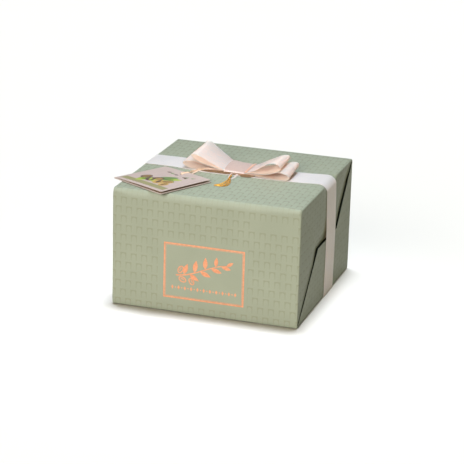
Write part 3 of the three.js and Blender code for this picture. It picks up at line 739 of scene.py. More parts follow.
def build_band():
    """The ribbon round the pack: over the top, down both ends and under the base."""
    top_r, left_r, base_r = 9.7, 2.2, 1.5
    side = HALF + 0.25 + BAND_THICK
    top = HEIGHT + 0.12 + BAND_THICK
    path = [(lerp(-side + left_r, side - top_r, k / 75), top, 0.0, 1.0) for k in range(76)]
    path += arc(side - top_r, top - top_r, top_r, 82, 8, 9)
    path += [(side, lerp(top - top_r, base_r, k / 36), 1.0, 0.0) for k in range(37)]
    path += arc(side - base_r, base_r, base_r, -15, -75)
    path += [(lerp(side - base_r, -side + base_r, k / 44), 0.0, 0.0, -1.0) for k in range(45)]
    path += arc(-side + base_r, base_r, base_r, -105, -165)
    path += [(-side, lerp(base_r, top - left_r, k / 36), -1.0, 0.0) for k in range(37)]
    path += arc(-side + left_r, top - left_r, left_r, 165, 105, 4)
    rows = []
    wide = 16
    for x, z, nx, nz in path:
        middle = band_middle_on_end(z)
        if z > BAND_TURN:
            middle = lerp(BAND_AT_TURN, band_middle(x), smooth(BAND_TURN, HEIGHT, z))
        row = []
        for j in range(wide + 1):
            v = 2 * j / wide - 1
            y = middle + v * BAND_WIDTH / 2
            out = 0.0
            if nz > 0.5:
                out = crown(x, y) + 0.10 * (1 - v * v) + 0.10 * ripple(x, y, 21, 7)
            elif abs(nx) > 0.5:
                out = 0.12 * (1 - v * v) + 0.10 * ripple(z, y, 23, 8) * smooth(3, 15, z)
            row.append(Vector((x + nx * out, y, max(z + nz * out, 0.0))))
        rows.append(row)
    band = ribbon("ribbon_round_pack", rows, BAND_THICK, True, [satin_band, satin_back])
    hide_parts("ribbon_band")


def over(x, y, up):
    return Vector((x, y, HEIGHT + up))


# Where the left loops' front and back edges lie
LEFT_FRONT, LEFT_BACK = -8.0, 32.0


def left_loop(rows):
    """Rows of a left loop from (front x, front up, back x, back up, rise)."""
    return [((xa, LEFT_FRONT, za), (xb, LEFT_BACK, zb), rise) for xa, za, xb, zb, rise in rows]


# Rows of a loop: front edge (x, y, up), back edge (x, y, up) and the rise of the middle between them
LOOP_UPPER_RIGHT = [
    ((12.6, -8.4, 3.10), (12.6, 31.6, 2.30), 1.0),
    ((19.0, -10.0, 5.5), (18.2, 30.4, 4.3), 0.6),
    ((25.8, -11.0, 8.6), (23.0, 29.4, 6.6), 0.3),
    ((35.2, -12.0, 14.7), (32.3, 28.6, 11.6), 0.0),
    ((42.1, -12.0, 18.2), (39.7, 28.5, 15.2), 0.0),
    ((47.5, -12.0, 19.5), (46.2, 28.5, 18.3), 0.0),
    ((51.7, -12.0, 18.8), (50.8, 28.5, 19.4), 0.0),
    ((55.3, -12.0, 16.4), (54.6, 28.5, 19.2), 0.0),
    ((56.5, -12.0, 13.9), (56.4, 28.5, 18.0), 0.0),
    ((55.5, -12.0, 12.1), (55.9, 28.5, 15.3), 0.0),
    ((52.0, -12.0, 9.7), (52.8, 28.4, 11.9), 0.0),
    ((46.0, -12.0, 7.5), (47.0, 28.2, 8.9), 0.0),
    ((40.2, -12.0, 6.1), (40.1, 28.1, 6.5), 0.0),
    ((33.0, -11.8, 5.4), (33.0, 28.2, 4.9), 0.0),
    ((25.4, -11.0, 5.0), (24.7, 28.9, 2.9), 0.3),
    ((12.6, -8.4, 2.75), (12.6, 31.6, 1.95), 0.9),
]
LOOP_LOWER_RIGHT = [
    ((12.6, -8.6, 2.40), (12.6, 31.5, 1.62), 0.8),
    ((20.0, -10.6, 3.3), (20.0, 29.6, 1.9), 0.4),
    ((27.0, -12.2, 4.3), (27.0, 28.2, 2.3), 0.1),
    ((34.0, -13.0, 5.0), (34.0, 27.2, 3.5), 0.0),
    ((41.0, -13.0, 5.85), (41.0, 27.0, 5.2), 0.0),
    ((48.0, -13.0, 7.9), (46.0, 27.0, 7.3), 0.0),
    ((52.3, -13.0, 9.3), (50.6, 27.0, 9.6), 0.0),
    ((56.6, -13.0, 9.6), (56.1, 27.0, 11.4), 0.0),
    ((61.3, -13.0, 8.7), (61.2, 27.0, 12.6), 0.0),
    ((65.8, -13.0, 6.8), (65.6, 27.0, 12.4), 0.0),
    ((67.5, -13.0, 4.6), (67.8, 27.0, 10.6), 0.0),
    ((65.8, -13.0, 2.1), (66.8, 27.0, 6.8), 0.0),
    ((59.4, -13.0, 0.95), (60.4, 27.0, 3.3), 0.0),
    ((48.0, -13.0, 0.85), (48.0, 27.0, 1.5), 0.0),
    ((36.0, -12.6, 1.5), (36.0, 27.4, 1.15), 0.0),
    ((26.0, -11.8, 2.1), (26.0, 28.4, 1.15), 0.1),
    ((12.6, -8.6, 2.05), (12.6, 31.5, 1.28), 0.7),
]
LOOP_UPPER_LEFT = left_loop([
    (-12.8, 3.60, -13.1, 4.15, 2.4), (-19.0, 6.3, -19.0, 8.3, 1.7), (-25.7, 9.2, -25.8, 12.9, 0.9),
    (-32.3, 12.1, -32.6, 17.8, 0.4), (-38.0, 14.9, -36.6, 20.8, 0.1), (-43.3, 17.2, -40.2, 23.3, 0.0),
    (-47.1, 18.3, -43.0, 24.6, 0.0), (-50.6, 18.5, -46.1, 24.6, 0.0), (-53.3, 17.9, -49.2, 22.4, 0.0),
    (-53.9, 17.0, -50.0, 20.4, 0.0), (-52.7, 15.3, -49.2, 18.0, 0.0), (-48.6, 12.7, -46.0, 15.0, 0.0),
    (-40.3, 9.3, -39.0, 11.4, 0.0), (-30.8, 7.0, -30.8, 8.4, 0.2), (-22.5, 5.3, -23.0, 6.2, 0.9),
    (-12.8, 3.25, -13.1, 3.75, 2.2),
])
LOOP_LOWER_LEFT = left_loop([
    (-12.8, 2.90, -13.1, 3.35, 2.0), (-18.0, 3.7, -18.0, 4.2, 1.3), (-24.6, 4.8, -24.6, 5.4, 0.7),
    (-30.8, 6.2, -30.8, 7.2, 0.2), (-40.0, 8.3, -39.0, 9.6, 0.0), (-47.5, 9.8, -46.4, 11.2, 0.0),
    (-54.0, 10.4, -53.4, 11.9, 0.0), (-59.3, 9.8, -59.0, 11.3, 0.0), (-62.6, 8.6, -62.5, 10.0, 0.0),
    (-63.7, 7.0, -64.0, 8.4, 0.0), (-62.6, 4.9, -63.0, 6.3, 0.0), (-59.1, 2.9, -59.4, 4.1, 0.0),
    (-52.0, 1.4, -52.0, 2.2, 0.0), (-43.8, 1.0, -43.8, 1.4, 0.0), (-34.0, 1.6, -34.0, 1.5, 0.1),
    (-24.0, 2.2, -24.0, 2.1, 0.7), (-12.8, 2.55, -13.1, 2.95, 1.8),
])


def rows_between(firsts, lasts, wide, lifts):
    """Rows of points from one edge to the other, each row raised in its middle by its own lift."""
    rows = []
    for a, b, lift in zip(firsts, lasts, lifts):
        row = [lerp(a, b, j / wide) for j in range(wide + 1)]
        for j, point in enumerate(row):
            v = 2 * j / wide - 1
            point.z += lift * (1 - v * v)
        rows.append(row)
    return rows


def ring_rows(right, left):
    """Rows of a closed ring of ribbon: out and back on the right, then out and back on the left."""
    def between(a, b, share):
        front, back = (tuple(lerp(p, q, share) for p, q in zip(a[k], b[k])) for k in (0, 1))
        return front, back, lerp(a[2], b[2], share)

    low = [between(right[-1], left[-1], share) for share in (0.34, 0.66)]
    high = [between(left[0], right[0], share) for share in (0.34, 0.66)]
    marks = right + low + left[::-1] + high
    fronts, backs = (spline([over(*mark[k]) for mark in marks], 7, True) for k in (0, 1))
    rises = spline([Vector((mark[2], 3.0 * k, 0.0)) for k, mark in enumerate(marks)], 7, True)
    return rows_between(fronts, backs, 18, [rise.x for rise in rises])


def build_bow():
    upper = ribbon("bow_upper_ribbon", ring_rows(LOOP_UPPER_RIGHT, LOOP_UPPER_LEFT), BOW_THICK, True,
                   [satin, satin_back])
    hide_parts("bow_upper_loops")
    lower = ribbon("bow_lower_ribbon", ring_rows(LOOP_LOWER_RIGHT, LOOP_LOWER_LEFT), BOW_THICK, True,
                   [satin, satin_back])
    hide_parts("bow_lower_loops")
    left = [(31.6, 4.75), (25.0, 6.2), (12.0, 7.0), (2.0, 6.1), (-5.0, 4.9), (-8.3, 3.6), (-8.9, 2.3),
            (-8.0, 1.25), (-3.0, 1.0), (12.0, 1.0), (27.0, 1.3), (31.6, 2.0), (33.0, 3.4)]
    right = [(31.0, 2.9), (25.0, 3.7), (12.0, 4.25), (2.0, 4.1), (-5.0, 3.9), (-8.6, 3.1), (-9.2, 2.1),
             (-8.2, 1.25), (-3.0, 1.0), (12.0, 1.0), (27.0, 1.0), (31.3, 1.15), (32.6, 1.9)]
    lefts = spline([over(-12.6, y, z) for y, z in left], 6, True)
    rights = spline([over(12.6, y, z) for y, z in right], 6, True)
    rows = rows_between(lefts, rights, 14, [0.0] * len(lefts))
    # A shallow dent in the wrap's upper run
    for row in rows:
        for point in row:
            if point.z > HEIGHT + 2.6:
                point.z -= 0.4 * math.exp(-((point.x + 0.5) / 4.0) ** 2) * smooth(8, 30, point.y)
    middle = ribbon("bow_middle_wrap", rows, BOW_THICK, True, [satin_wrap_painted_shade])
    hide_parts("bow_wrap")


def strip(name, first, last, material, wide=4, rise=0.0):
    """A thin ribbon between two edges given by points (x, y, up)."""
    firsts, lasts = (spline([over(*p) for p in edge], 6, False) for edge in (first, last))
    rows = rows_between(firsts, lasts, wide, [rise] * len(firsts))
    return ribbon(name, rows, NARROW_THICK, False, [material])


def build_painted_shadow_and_edges():
    """Painted shadow strips under the bow's front, and ribbon edges under and beside the wrap in painted
    shade.
    """
    # Dark brown strips under the bow's front edge: painted shadow where the band lies in shade.
    strip("bow_painted_shadow_left",
          [(-46.0, -10.0, 0.86), (-36.0, -13.0, 0.90), (-27.0, -13.9, 0.93), (-20.5, -14.1, 0.95),
           (-15.0, -14.3, 0.95), (-10.0, -14.4, 0.95), (-2.5, -14.0, 0.95)],
          [(-46.0, -8.0, 0.98), (-36.0, -7.8, 1.15), (-27.0, -7.8, 1.60), (-20.5, -7.8, 1.85),
           (-15.0, -7.9, 1.95), (-10.0, -8.4, 1.60), (-2.0, -8.8, 1.15)], satin_painted_shadow)
    strip("bow_painted_shadow_right",
          [(9.5, -15.6, 0.70), (13.0, -16.6, 0.62), (17.0, -16.6, 0.62), (21.4, -15.2, 0.80),
           (25.6, -12.4, 0.90)],
          [(8.0, -8.8, 1.20), (12.8, -9.2, 1.75), (17.0, -9.6, 1.95), (21.4, -10.2, 1.90),
           (26.0, -11.2, 1.80)], satin_painted_shadow)
    strip("bow_painted_shadow_middle",
          [(-3.5, -13.9, 0.90), (1.0, -13.6, 0.88), (6.0, -13.6, 0.88), (11.5, -14.0, 0.90)],
          [(-3.5, -8.8, 1.10), (1.0, -8.9, 1.02), (6.0, -8.9, 1.02), (11.5, -9.0, 1.20)], satin_painted_shadow)
    # A ribbon edge under the wrap's front, in dark orange painted shade.
    strip("bow_knot_edge",
          [(-13.4, -9.3, 0.95), (-8.0, -9.7, 0.65), (-2.5, -9.9, 0.58), (3.0, -9.9, 0.62), (8.0, -9.8, 0.78),
           (13.0, -9.8, 1.10), (19.4, -10.4, 1.50)],
          [(-13.4, -9.1, 1.90), (-8.0, -9.5, 1.62), (-2.5, -9.6, 1.50), (3.0, -9.6, 1.55), (8.0, -9.5, 1.75),
           (13.0, -9.6, 2.10), (19.4, -10.2, 2.40)], satin_knot_painted_shade, wide=2)
    # The wrap's turned edge, beside it, in its darker orange painted shade.
    strip("wrap_turned_edge",
          [(12.0, -9.3, 3.05), (12.1, -5.0, 4.05), (12.1, 2.0, 4.30), (12.0, 12.0, 4.45), (11.9, 25.0, 3.95),
           (11.9, 31.0, 3.15)],
          [(15.2, -9.6, 4.15), (15.4, -5.0, 4.70), (15.6, 2.0, 4.95), (15.6, 12.0, 5.00), (15.5, 25.0, 4.45),
           (15.4, 31.0, 3.65)], satin_turn_painted_shade, rise=0.12)


build_band()
build_bow()
build_painted_shadow_and_edges()


# The card tag

TAG_SIDE = 77.6
TAG_CORNERS = [Vector(p) for p in ((-120.7, -78.9), (-82.4, -14.8), (-14.6, -51.0), (-51.5, -115.6))]
TAG_STOCK = 0.35
LOWER_HALF_STOCK = 0.25
LOWER_REACH = 1.5
TAG_HOLE = (68.0, 38.8)
TAG_HOLE_RADIUS = 2.1
TAG_HOLE_ROOM = 4.4


def tag_point(u, v, up):
    """A point of the tag: u along its spine, v away from the spine."""
    near_end, far_end, far_side, near_side = TAG_CORNERS
    spine = near_end + (far_end - near_end) * (u / TAG_SIDE)
    side = near_side + (far_side - near_side) * (u / TAG_SIDE)
    flat = spine + (side - spine) * (v / TAG_SIDE)
    return Vector((flat.x, flat.y, HEIGHT + up))


def leaf_up(u, v, upper):
    """Height of a leaf's middle surface."""
    share, away = u / TAG_SIDE, v / TAG_SIDE
    if upper:
        spine, edge, bow = lerp(1.75, 1.45, share), lerp(3.3, 3.6, share), 0.7
        ease = away ** 0.85
    else:
        spine, edge, bow = lerp(1.15, 0.90, share), lerp(1.15, 1.10, share), -0.25
        ease = away ** 3
    return lerp(spine, edge, ease) + bow * math.sin(math.pi * away) * 0.4


def lower_leaf(u, v):
    """Place on the lower leaf, which stands out a little from under the upper one."""
    grown = (TAG_SIDE + LOWER_REACH) / TAG_SIDE
    return u * grown - LOWER_REACH, v * grown


def build_tag():
    shell = Shell()
    half = TAG_STOCK / 2
    steps, turns = 30, 6
    cells = [TAG_SIDE * k / steps for k in range(steps + 1)]
    # The cells with their middle near the hole make room for it, and a line runs round them
    hole_i, hole_j = ([k for k in range(steps) if abs((cells[k] + cells[k + 1]) / 2 - middle) < TAG_HOLE_ROOM]
                      for middle in TAG_HOLE)
    us, vs = cells[hole_i[0]:hole_i[-1] + 2], cells[hole_j[0]:hole_j[-1] + 2]
    frame_line = [(u, vs[0]) for u in us] + [(us[-1], v) for v in vs[1:]]
    frame_line += [(u, vs[-1]) for u in reversed(us[:-1])] + [(us[0], v) for v in reversed(vs[1:-1])]
    rim = []
    for u, v in frame_line:
        a = math.atan2(v - TAG_HOLE[1], u - TAG_HOLE[0])
        rim.append((TAG_HOLE[0] + TAG_HOLE_RADIUS * math.cos(a), TAG_HOLE[1] + TAG_HOLE_RADIUS * math.sin(a)))
    count = len(rim)
    for upper in (True, False):
        def corner(u, v, side):
            if upper:
                return tag_point(u, v, leaf_up(u, v, True) + side * half)
            return tag_point(*lower_leaf(u, v), leaf_up(u, v, False) + side * LOWER_HALF_STOCK)

        def wall(a, b):
            shell.face([corner(*a, 1), corner(*b, 1), corner(*b, -1), corner(*a, -1)], 2, [a, b, b, a])

        for i in range(steps):
            for j in range(steps):
                if i in hole_i and j in hole_j:
                    continue
                square = [(cells[i], cells[j]), (cells[i + 1], cells[j]),
                          (cells[i + 1], cells[j + 1]), (cells[i], cells[j + 1])]
                # The lower leaf's top is painted dark (painted shade under the upper leaf), except its outer
                # row and column, which show as a light edge.
                top_slot, low_slot = (0, 1) if upper else (2 if i == 0 or j == steps - 1 else 1, 2)
                shell.face([corner(u, v, 1) for u, v in square], top_slot, square)
                shell.face([corner(u, v, -1) for u, v in reversed(square)], low_slot, square[::-1])
        for k in range(count):
            n = (k + 1) % count
            for side, slot in ((1, 0 if upper else 1), (-1, 1 if upper else 2)):
                quad = [frame_line[k], frame_line[n], rim[n], rim[k]]
                shell.face([corner(u, v, side) for u, v in quad], slot, quad)
            wall(rim[k], rim[n])
        for a, b in zip(cells, cells[1:]):
            wall((0.0, a), (0.0, b))
            wall((TAG_SIDE, a), (TAG_SIDE, b))
            wall((a, TAG_SIDE), (b, TAG_SIDE))

    def turn_point(u, side, step):
        """A point of the card where it turns round the spine, on its outer (1) or inner (-1) side."""
        high, low = leaf_up(u, 0, True), leaf_up(u, 0, False)
        share = step / turns
        a = math.pi / 2 + math.pi * step / turns
        reach = (high - low) / 2 + side * lerp(half, LOWER_HALF_STOCK, share)
        return tag_point(lerp(u, lower_leaf(u, 0)[0], share), reach * math.cos(a),
                         (high + low) / 2 + reach * math.sin(a))

    for k, (ua, ub) in enumerate(zip(cells, cells[1:])):
        for step in range(turns):
            for side, slot in ((1, 0), (-1, 1)):
                shell.face([turn_point(ua, side, step), turn_point(ub, side, step),
                            turn_point(ub, side, step + 1), turn_point(ua, side, step + 1)],
                           slot, [(ua, 0), (ub, 0), (ub, 0), (ua, 0)])
            if k in (0, steps - 1):
                u = ua if k == 0 else ub
                shell.face([turn_point(u, 1, step), turn_point(u, 1, step + 1),
                            turn_point(u, -1, step + 1), turn_point(u, -1, step)], 2, [(u, 0)] * 4)
    tag = shell.make("folded_tag", [card_front, card_inside_painted_shade, card_edge], "card", sharp=35)
    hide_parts("tag_card")


build_tag()


# Narrow ribbons, charm and ring

def tie_rows(points, width, across):
    """Rows of a narrow ribbon along a smooth path, carried along without twist."""
    path = spline(points, 8, False)
    rows = []
    for i, point in enumerate(path):
        along = (item_at(path, i + 1, False) - item_at(path, i - 1, False)).normalized()
        across = (across - along * across.dot(along)).normalized()
        rows.append([point + across * width * (j / 4 - 0.5) for j in range(5)])
    return rows


def over_tag(u, v, up):
    return tag_point(u, v, leaf_up(u, v, True) + up)


def build_tag_tie():
    """Narrow ribbon from the bow, under the card, up through its hole and back over its edge."""
    hole_u, hole_v = TAG_HOLE
    out = [(-5.0, -3.4, 0.85), (-18.0, -3.6, 0.80), (-31.0, -5.0, 0.85), (-38.5, -8.4, 0.95),
           (-42.6, -12.6, 0.70), (-43.8, -17.0, 0.45), (-44.4, -22.5, 0.60), (-44.4, -29.0, 1.25),
           (-47.0, -34.5, 1.55), (-52.0, -37.5, 1.60)]
    back = [(-48.2, -23.2, 1.55), (-45.6, -18.2, 1.10), (-43.4, -13.2, 1.25), (-39.2, -8.0, 1.50),
            (-31.0, -4.4, 1.35), (-18.0, -3.0, 1.25), (-5.0, -2.8, 1.30)]
    through = [
        tag_point(hole_u + 0.3, hole_v - 1.1, leaf_up(hole_u, hole_v, True) - 0.75),
        tag_point(hole_u + 0.1, hole_v - 0.5, leaf_up(hole_u, hole_v, True) + 0.35),
        over_tag(hole_u + 1.4, hole_v + 0.1, 0.62), over_tag(hole_u + 4.5, hole_v + 0.3, 0.48),
        over_tag(TAG_SIDE - 1.5, hole_v + 0.8, 0.50), tag_point(TAG_SIDE + 1.6, hole_v + 1.6, 2.7)]
    points = [over(*p) for p in out] + through + [over(*p) for p in back]
    rows = tie_rows(points, 2.4, Vector((0, 1, 0)))
    tie = ribbon("tag_ribbon", rows, NARROW_THICK, False, [narrow_peach])
    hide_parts("tag_tie")


def build_charm_tie():
    """Two strands of narrow ribbon from under the bow that meet at the charm's stem."""
    right = [(3.6, 6.0, 0.95), (4.0, -2.0, 0.95), (4.3, -9.0, 1.20), (4.3, -13.5, 1.10),
             (4.3, -16.0, 0.80), (4.2, -19.0, 0.45), (3.4, -25.0, 0.35), (1.9, -30.5, 0.35)]
    left = [(-2.0, 6.0, 1.05), (-2.2, -2.0, 0.90), (-2.5, -9.0, 1.22), (-2.6, -13.5, 1.16),
            (-2.5, -15.8, 0.86), (-2.4, -18.5, 0.52), (-1.0, -24.5, 0.55), (0.9, -30.0, 0.62)]
    for number, points in enumerate((right, left)):
        rows = tie_rows([over(*p) for p in points], 2.5, Vector((1, 0, 0)))
        strand = ribbon("charm_ribbon_%d" % (number + 1), rows, NARROW_THICK, False, [narrow_pale])
        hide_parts("charm_tie")


def tube(shell, points, radius, across, closed, sides=10):
    """Adds a round wire along the points. The radius is a number or one number for each point."""
    count = len(points)
    radii = radius if isinstance(radius, list) else [radius] * count
    rings = []
    for i, point in enumerate(points):
        along = (item_at(points, i + 1, closed) - item_at(points, i - 1, closed)).normalized()
        across = (across - along * across.dot(along)).normalized()
        other = along.cross(across)
        rings.append([point + (across * math.cos(a) + other * math.sin(a)) * radii[i]
                      for a in (2 * math.pi * k / sides for k in range(sides))])
    for i in range(count if closed else count - 1):
        a, b = rings[i], rings[(i + 1) % count]
        for k in range(sides):
            n = (k + 1) % sides
            shell.face([a[k], a[n], b[n], b[k]])
    if not closed:
        shell.face(list(reversed(rings[0])))
        shell.face(rings[-1])


CHARM_INNER = [(-0.3, -26.0), (-0.1, -31.5), (0.5, -36.5), (0.0, -41.5), (-1.0, -46.5), (-2.4, -51.3),
               (-4.5, -55.2), (-7.9, -58.4)]
CHARM_OUTER = [(1.0, -26.0), (2.9, -31.5), (5.2, -37.5), (6.8, -44.0), (7.5, -50.5), (6.6, -56.5),
               (1.6, -60.9), (-7.7, -60.3)]
CHARM_STOCK = 0.55
# Half widths of its bars as shares of the leaf: rim, midrib and side veins
RIM_HALF, RIB_HALF, VEIN_HALF = 0.15, 0.09, 0.024


def charm_rest(y):
    """Height of the charm's underside above the paper, from its tip to its stem."""
    return CROWN + lerp(0.10, 0.85, smooth(-56, -24, y))


def build_charm():
    """A flat openwork leaf of rounded bars, with its stem and eye."""
    shell = Shell()
    inner = spline([Vector((x, y, 0)) for x, y in CHARM_INNER], 12, False)
    outer = spline([Vector((x, y, 0)) for x, y in CHARM_OUTER], 12, False)
    rows = len(inner) - 1
    marks = [0, 0.03, 0.07, 0.11, 0.15, 0.20, 0.26, 0.32, 0.37, 0.41, 0.455, 0.5]
    marks += [1 - m for m in reversed(marks[:-1])]
    veins = [0.14, 0.28, 0.41, 0.54, 0.67, 0.79, 0.90]

    def bar(away, half):
        return math.sqrt(max(0.0, 1 - (away / half) ** 2)) if away < half else 0.0

    def from_vein(t, s):
        return min(abs(t - v - 0.05 * (1 - abs(2 * s - 1))) for v in veins)

    def lift(t, s):
        ends = 1.0 if t < 0.05 or t > 0.95 else 0.0
        return max(bar(min(s, 1 - s), RIM_HALF), bar(abs(s - 0.5), RIB_HALF),
                   bar(from_vein(t, s), VEIN_HALF), ends)

    def open_cell(t, s):
        return (0.07 <= t <= 0.93 and RIM_HALF < min(s, 1 - s) < 0.5 - RIB_HALF
                and from_vein(t, s) > VEIN_HALF)

    def place(i, j, top):
        t, s = i / rows, marks[j]
        flat = inner[i].lerp(outer[i], s)
        up = charm_rest(flat.y)
        if top:
            up += CHARM_STOCK * (0.45 + 0.55 * lift(t, s))
        return over(flat.x, flat.y, up)

    columns = len(marks) - 1
    solid = {(i, j) for i in range(rows) for j in range(columns)
             if not open_cell((i + 0.5) / rows, (marks[j] + marks[j + 1]) / 2)}
    for i, j in solid:
        for top in (True, False):
            shell.face([place(i, j, top), place(i + 1, j, top), place(i + 1, j + 1, top),
                        place(i, j + 1, top)])
        for step, a, b in (((0, -1), (i, j), (i + 1, j)), ((0, 1), (i, j + 1), (i + 1, j + 1)),
                           ((-1, 0), (i, j), (i, j + 1)), ((1, 0), (i + 1, j), (i + 1, j + 1))):
            if (i + step[0], j + step[1]) not in solid:
                shell.face([place(*a, True), place(*b, True), place(*b, False), place(*a, False)])
    stem = spline([over(0.5, -28.5, 1.45), over(0.3, -25.5, 1.55), over(-0.2, -22.6, 1.5)], 8, False)
    radii = [lerp(0.95, 0.62, k / (len(stem) - 1)) for k in range(len(stem))]
    tube(shell, stem, radii, Vector((1, 0, 0)), False)
    eye = [over(-0.4 + 1.25 * math.cos(a), -21.3 + 1.25 * math.sin(a), 1.45)
           for a in (2 * math.pi * k / 20 for k in range(20))]
    tube(shell, eye, 0.38, Vector((0, 0, 1)), True, 8)
    charm = shell.make("gold_charm", [gold], "charm", sharp=50)
    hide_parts("charm")


def build_ring():
    """A low oval jump ring through the charm's eye and the narrow ribbon."""
    shell = Shell()
    wire = []
    for k in range(28):
        a = 2 * math.pi * k / 28
        wire.append(over(-0.6 + 0.35 * math.sin(a), -18.9 + 2.9 * math.cos(a), 1.75 + 1.0 * math.sin(a)))
    tube(shell, wire, 0.30, Vector((1, 0, 0)), True, 8)
    ring = shell.make("jump_ring", [gold], "charm", sharp=50)
    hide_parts("charm_ring")


# Foil on the front and print on the tag

# Length of the parts that a long foil line is made of, so that it follows the paper
FOIL_STEP = 4.0


def front_place(x, z, up):
    """A point a little above the paper of the front."""
    point = sleeve_point(x, (-HALF, z, -1.0, 0.0, z))
    return Vector((point[0], point[1] - up, point[2]))


def tag_place(u, v, up):
    return tag_point(u, v, leaf_up(u, v, True) + TAG_STOCK / 2 + up)


def thin_wall(shell, a, b, place, slot, up):
    """The edge of a thin flat shape between two of its corners."""
    corners = [a, b, b, a]
    heights = (up, up, PRINT_SINK, PRINT_SINK)
    shell.face([place(*c, h) for c, h in zip(corners, heights)], slot, corners)


def thin_part(shell, corners, place, slot, up):
    """A four-sided part of a thin flat line, with the edges on its long sides."""
    for height in (up, PRINT_SINK):
        shell.face([place(*c, height) for c in corners], slot, corners)
    thin_wall(shell, corners[0], corners[1], place, slot, up)
    thin_wall(shell, corners[3], corners[2], place, slot, up)


def patch(shell, outline, place, slot=0, up=PRINT_RISE, rings=3):
    """Adds a thin flat shape that follows the surface under it. Every part of it sees its middle."""
    count = len(outline)
    cx, cy = (sum(p[k] for p in outline) / count for k in (0, 1))

    def at(k, ring):
        return tuple(lerp(c, p, ring / rings) for c, p in zip((cx, cy), outline[k % count]))

    for k in range(count):
        for height in (up, PRINT_SINK):
            for ring in range(rings):
                a, b = at(k, ring + 1), at(k + 1, ring + 1)
                corners = [(cx, cy), a, b] if ring == 0 else [at(k, ring), a, b, at(k + 1, ring)]
                shell.face([place(*c, height) for c in corners], slot, corners)
        thin_wall(shell, at(k, rings), at(k + 1, rings), place, slot, up)


def line(shell, points, width, place, slot=0, closed=False):
    """Adds a thin flat line along the points. The width is a number or one number for each point."""
    count = len(points)
    widths = width if isinstance(width, list) else [width] * count
    pairs = []
    for i, (x, y) in enumerate(points):
        way = (Vector(item_at(points, i + 1, closed)) - Vector(item_at(points, i - 1, closed))).normalized()
        side = Vector((-way.y, way.x)) * widths[i] / 2
        pairs.append(((x + side.x, y + side.y), (x - side.x, y - side.y)))
    for i in range(count if closed else count - 1):
        a, b = pairs[i], pairs[(i + 1) % count]
        thin_part(shell, [a[0], b[0], b[1], a[1]], place, slot, PRINT_RISE)
    if not closed:
        for a, b in (pairs[0], pairs[-1]):
            thin_wall(shell, a, b, place, slot, PRINT_RISE)


def box_line(shell, left, right, low, high, width, place):
    """Adds a rectangle of flat line with square corners. The sizes are those of its outer edge."""
    outer = [(left, low), (right, low), (right, high), (left, high)]
    inner = [(left + width, low + width), (right - width, low + width), (right - width, high - width),
             (left + width, high - width)]
    for k in range(4):
        n = (k + 1) % 4
        parts = max(1, round(math.dist(outer[n], outer[k]) / FOIL_STEP))
        for i in range(parts):
            o, q = ([tuple(lerp(a, b, share / parts) for a, b in zip(box[k], box[n])) for share in (i, i + 1)]
                    for box in (outer, inner))
            thin_part(shell, [o[0], o[1], q[1], q[0]], place, 0, PRINT_RISE)


def turned(points, x, y, degrees):
    """The points turned about (0, 0) and then moved to (x, y)."""
    c, s = math.cos(math.radians(degrees)), math.sin(math.radians(degrees))
    return [(x + c * a - s * b, y + s * a + c * b) for a, b in points]


def leaf_shape(x, y, length, width, degrees):
    """Outline of a pointed leaf from its foot at (x, y)."""
    edge = [(length * k / 9, width / 2 * math.sin(math.pi * (k / 9) ** 0.85)) for k in range(10)]
    return turned(edge + [(a, -b) for a, b in reversed(edge[1:-1])], x, y, degrees)


def oval(x, y, long, wide, degrees, steps=20):
    angles = [2 * math.pi * k / steps for k in range(steps)]
    return turned([(long / 2 * math.cos(a), wide / 2 * math.sin(a)) for a in angles], x, y, degrees)


def curve(points, steps):
    return [(p.x, p.y) for p in spline([Vector((x, y, 0)) for x, y in points], steps, False)]


def build_foil():
    """Double frame, a sprig of leaves and nuts, and a row of small diamonds."""
    shell = Shell()
    box_line(shell, -48.4, 47.5, 17.2, 83.3, 1.65, front_place)
    box_line(shell, -46.2, 45.3, 19.4, 81.1, 0.42, front_place)
    stem = curve([(-33.5, 45.5), (-22.0, 47.0), (-10.0, 51.0), (4.0, 57.0), (18.0, 62.0), (27.0, 63.5)], 10)
    widths = [lerp(1.7, 0.8, k / (len(stem) - 1)) for k in range(len(stem))]
    line(shell, stem, widths, front_place)
    for x, z, length, width, degrees in (
            (-24.0, 47.6, 13.5, 5.2, 72), (-17.0, 48.0, 13.0, 5.0, -32), (-11.5, 51.2, 14.5, 5.6, 82),
            (-4.5, 52.8, 13.5, 5.2, -22), (1.0, 56.6, 14.0, 5.4, 88), (8.5, 58.0, 13.0, 5.0, -16),
            (13.5, 61.2, 11.5, 4.6, 84), (20.5, 62.0, 11.5, 4.4, -12), (26.5, 63.4, 9.5, 3.8, 32)):
        patch(shell, leaf_shape(x, z, length, width, degrees), front_place)
    for x, z, long, wide, degrees in (
            (-28.0, 52.6, 8.6, 5.4, 60), (-25.6, 41.0, 8.6, 5.4, -24), (-14.8, 39.8, 8.0, 5.0, -60)):
        line(shell, oval(x, z, long, wide, degrees, 24), 1.25, front_place, closed=True)
        slit = turned([(-0.24 * long, 0.2), (0.0, 0.5), (0.26 * long, 0.2)], x, z, degrees)
        line(shell, curve(slit, 5), 0.9, front_place)
    for k in range(11):
        x = -37.5 + 7.5 * k
        patch(shell, [(x, 33.2), (x + 1.5, 30.6), (x, 28.0), (x - 1.5, 30.6)], front_place, rings=1)
        if k < 10:
            patch(shell, oval(x + 3.75, 30.6, 1.5, 1.5, 0, 10), front_place, rings=1)
    shell.make("foil_print", [foil], "paper", sharp=30)


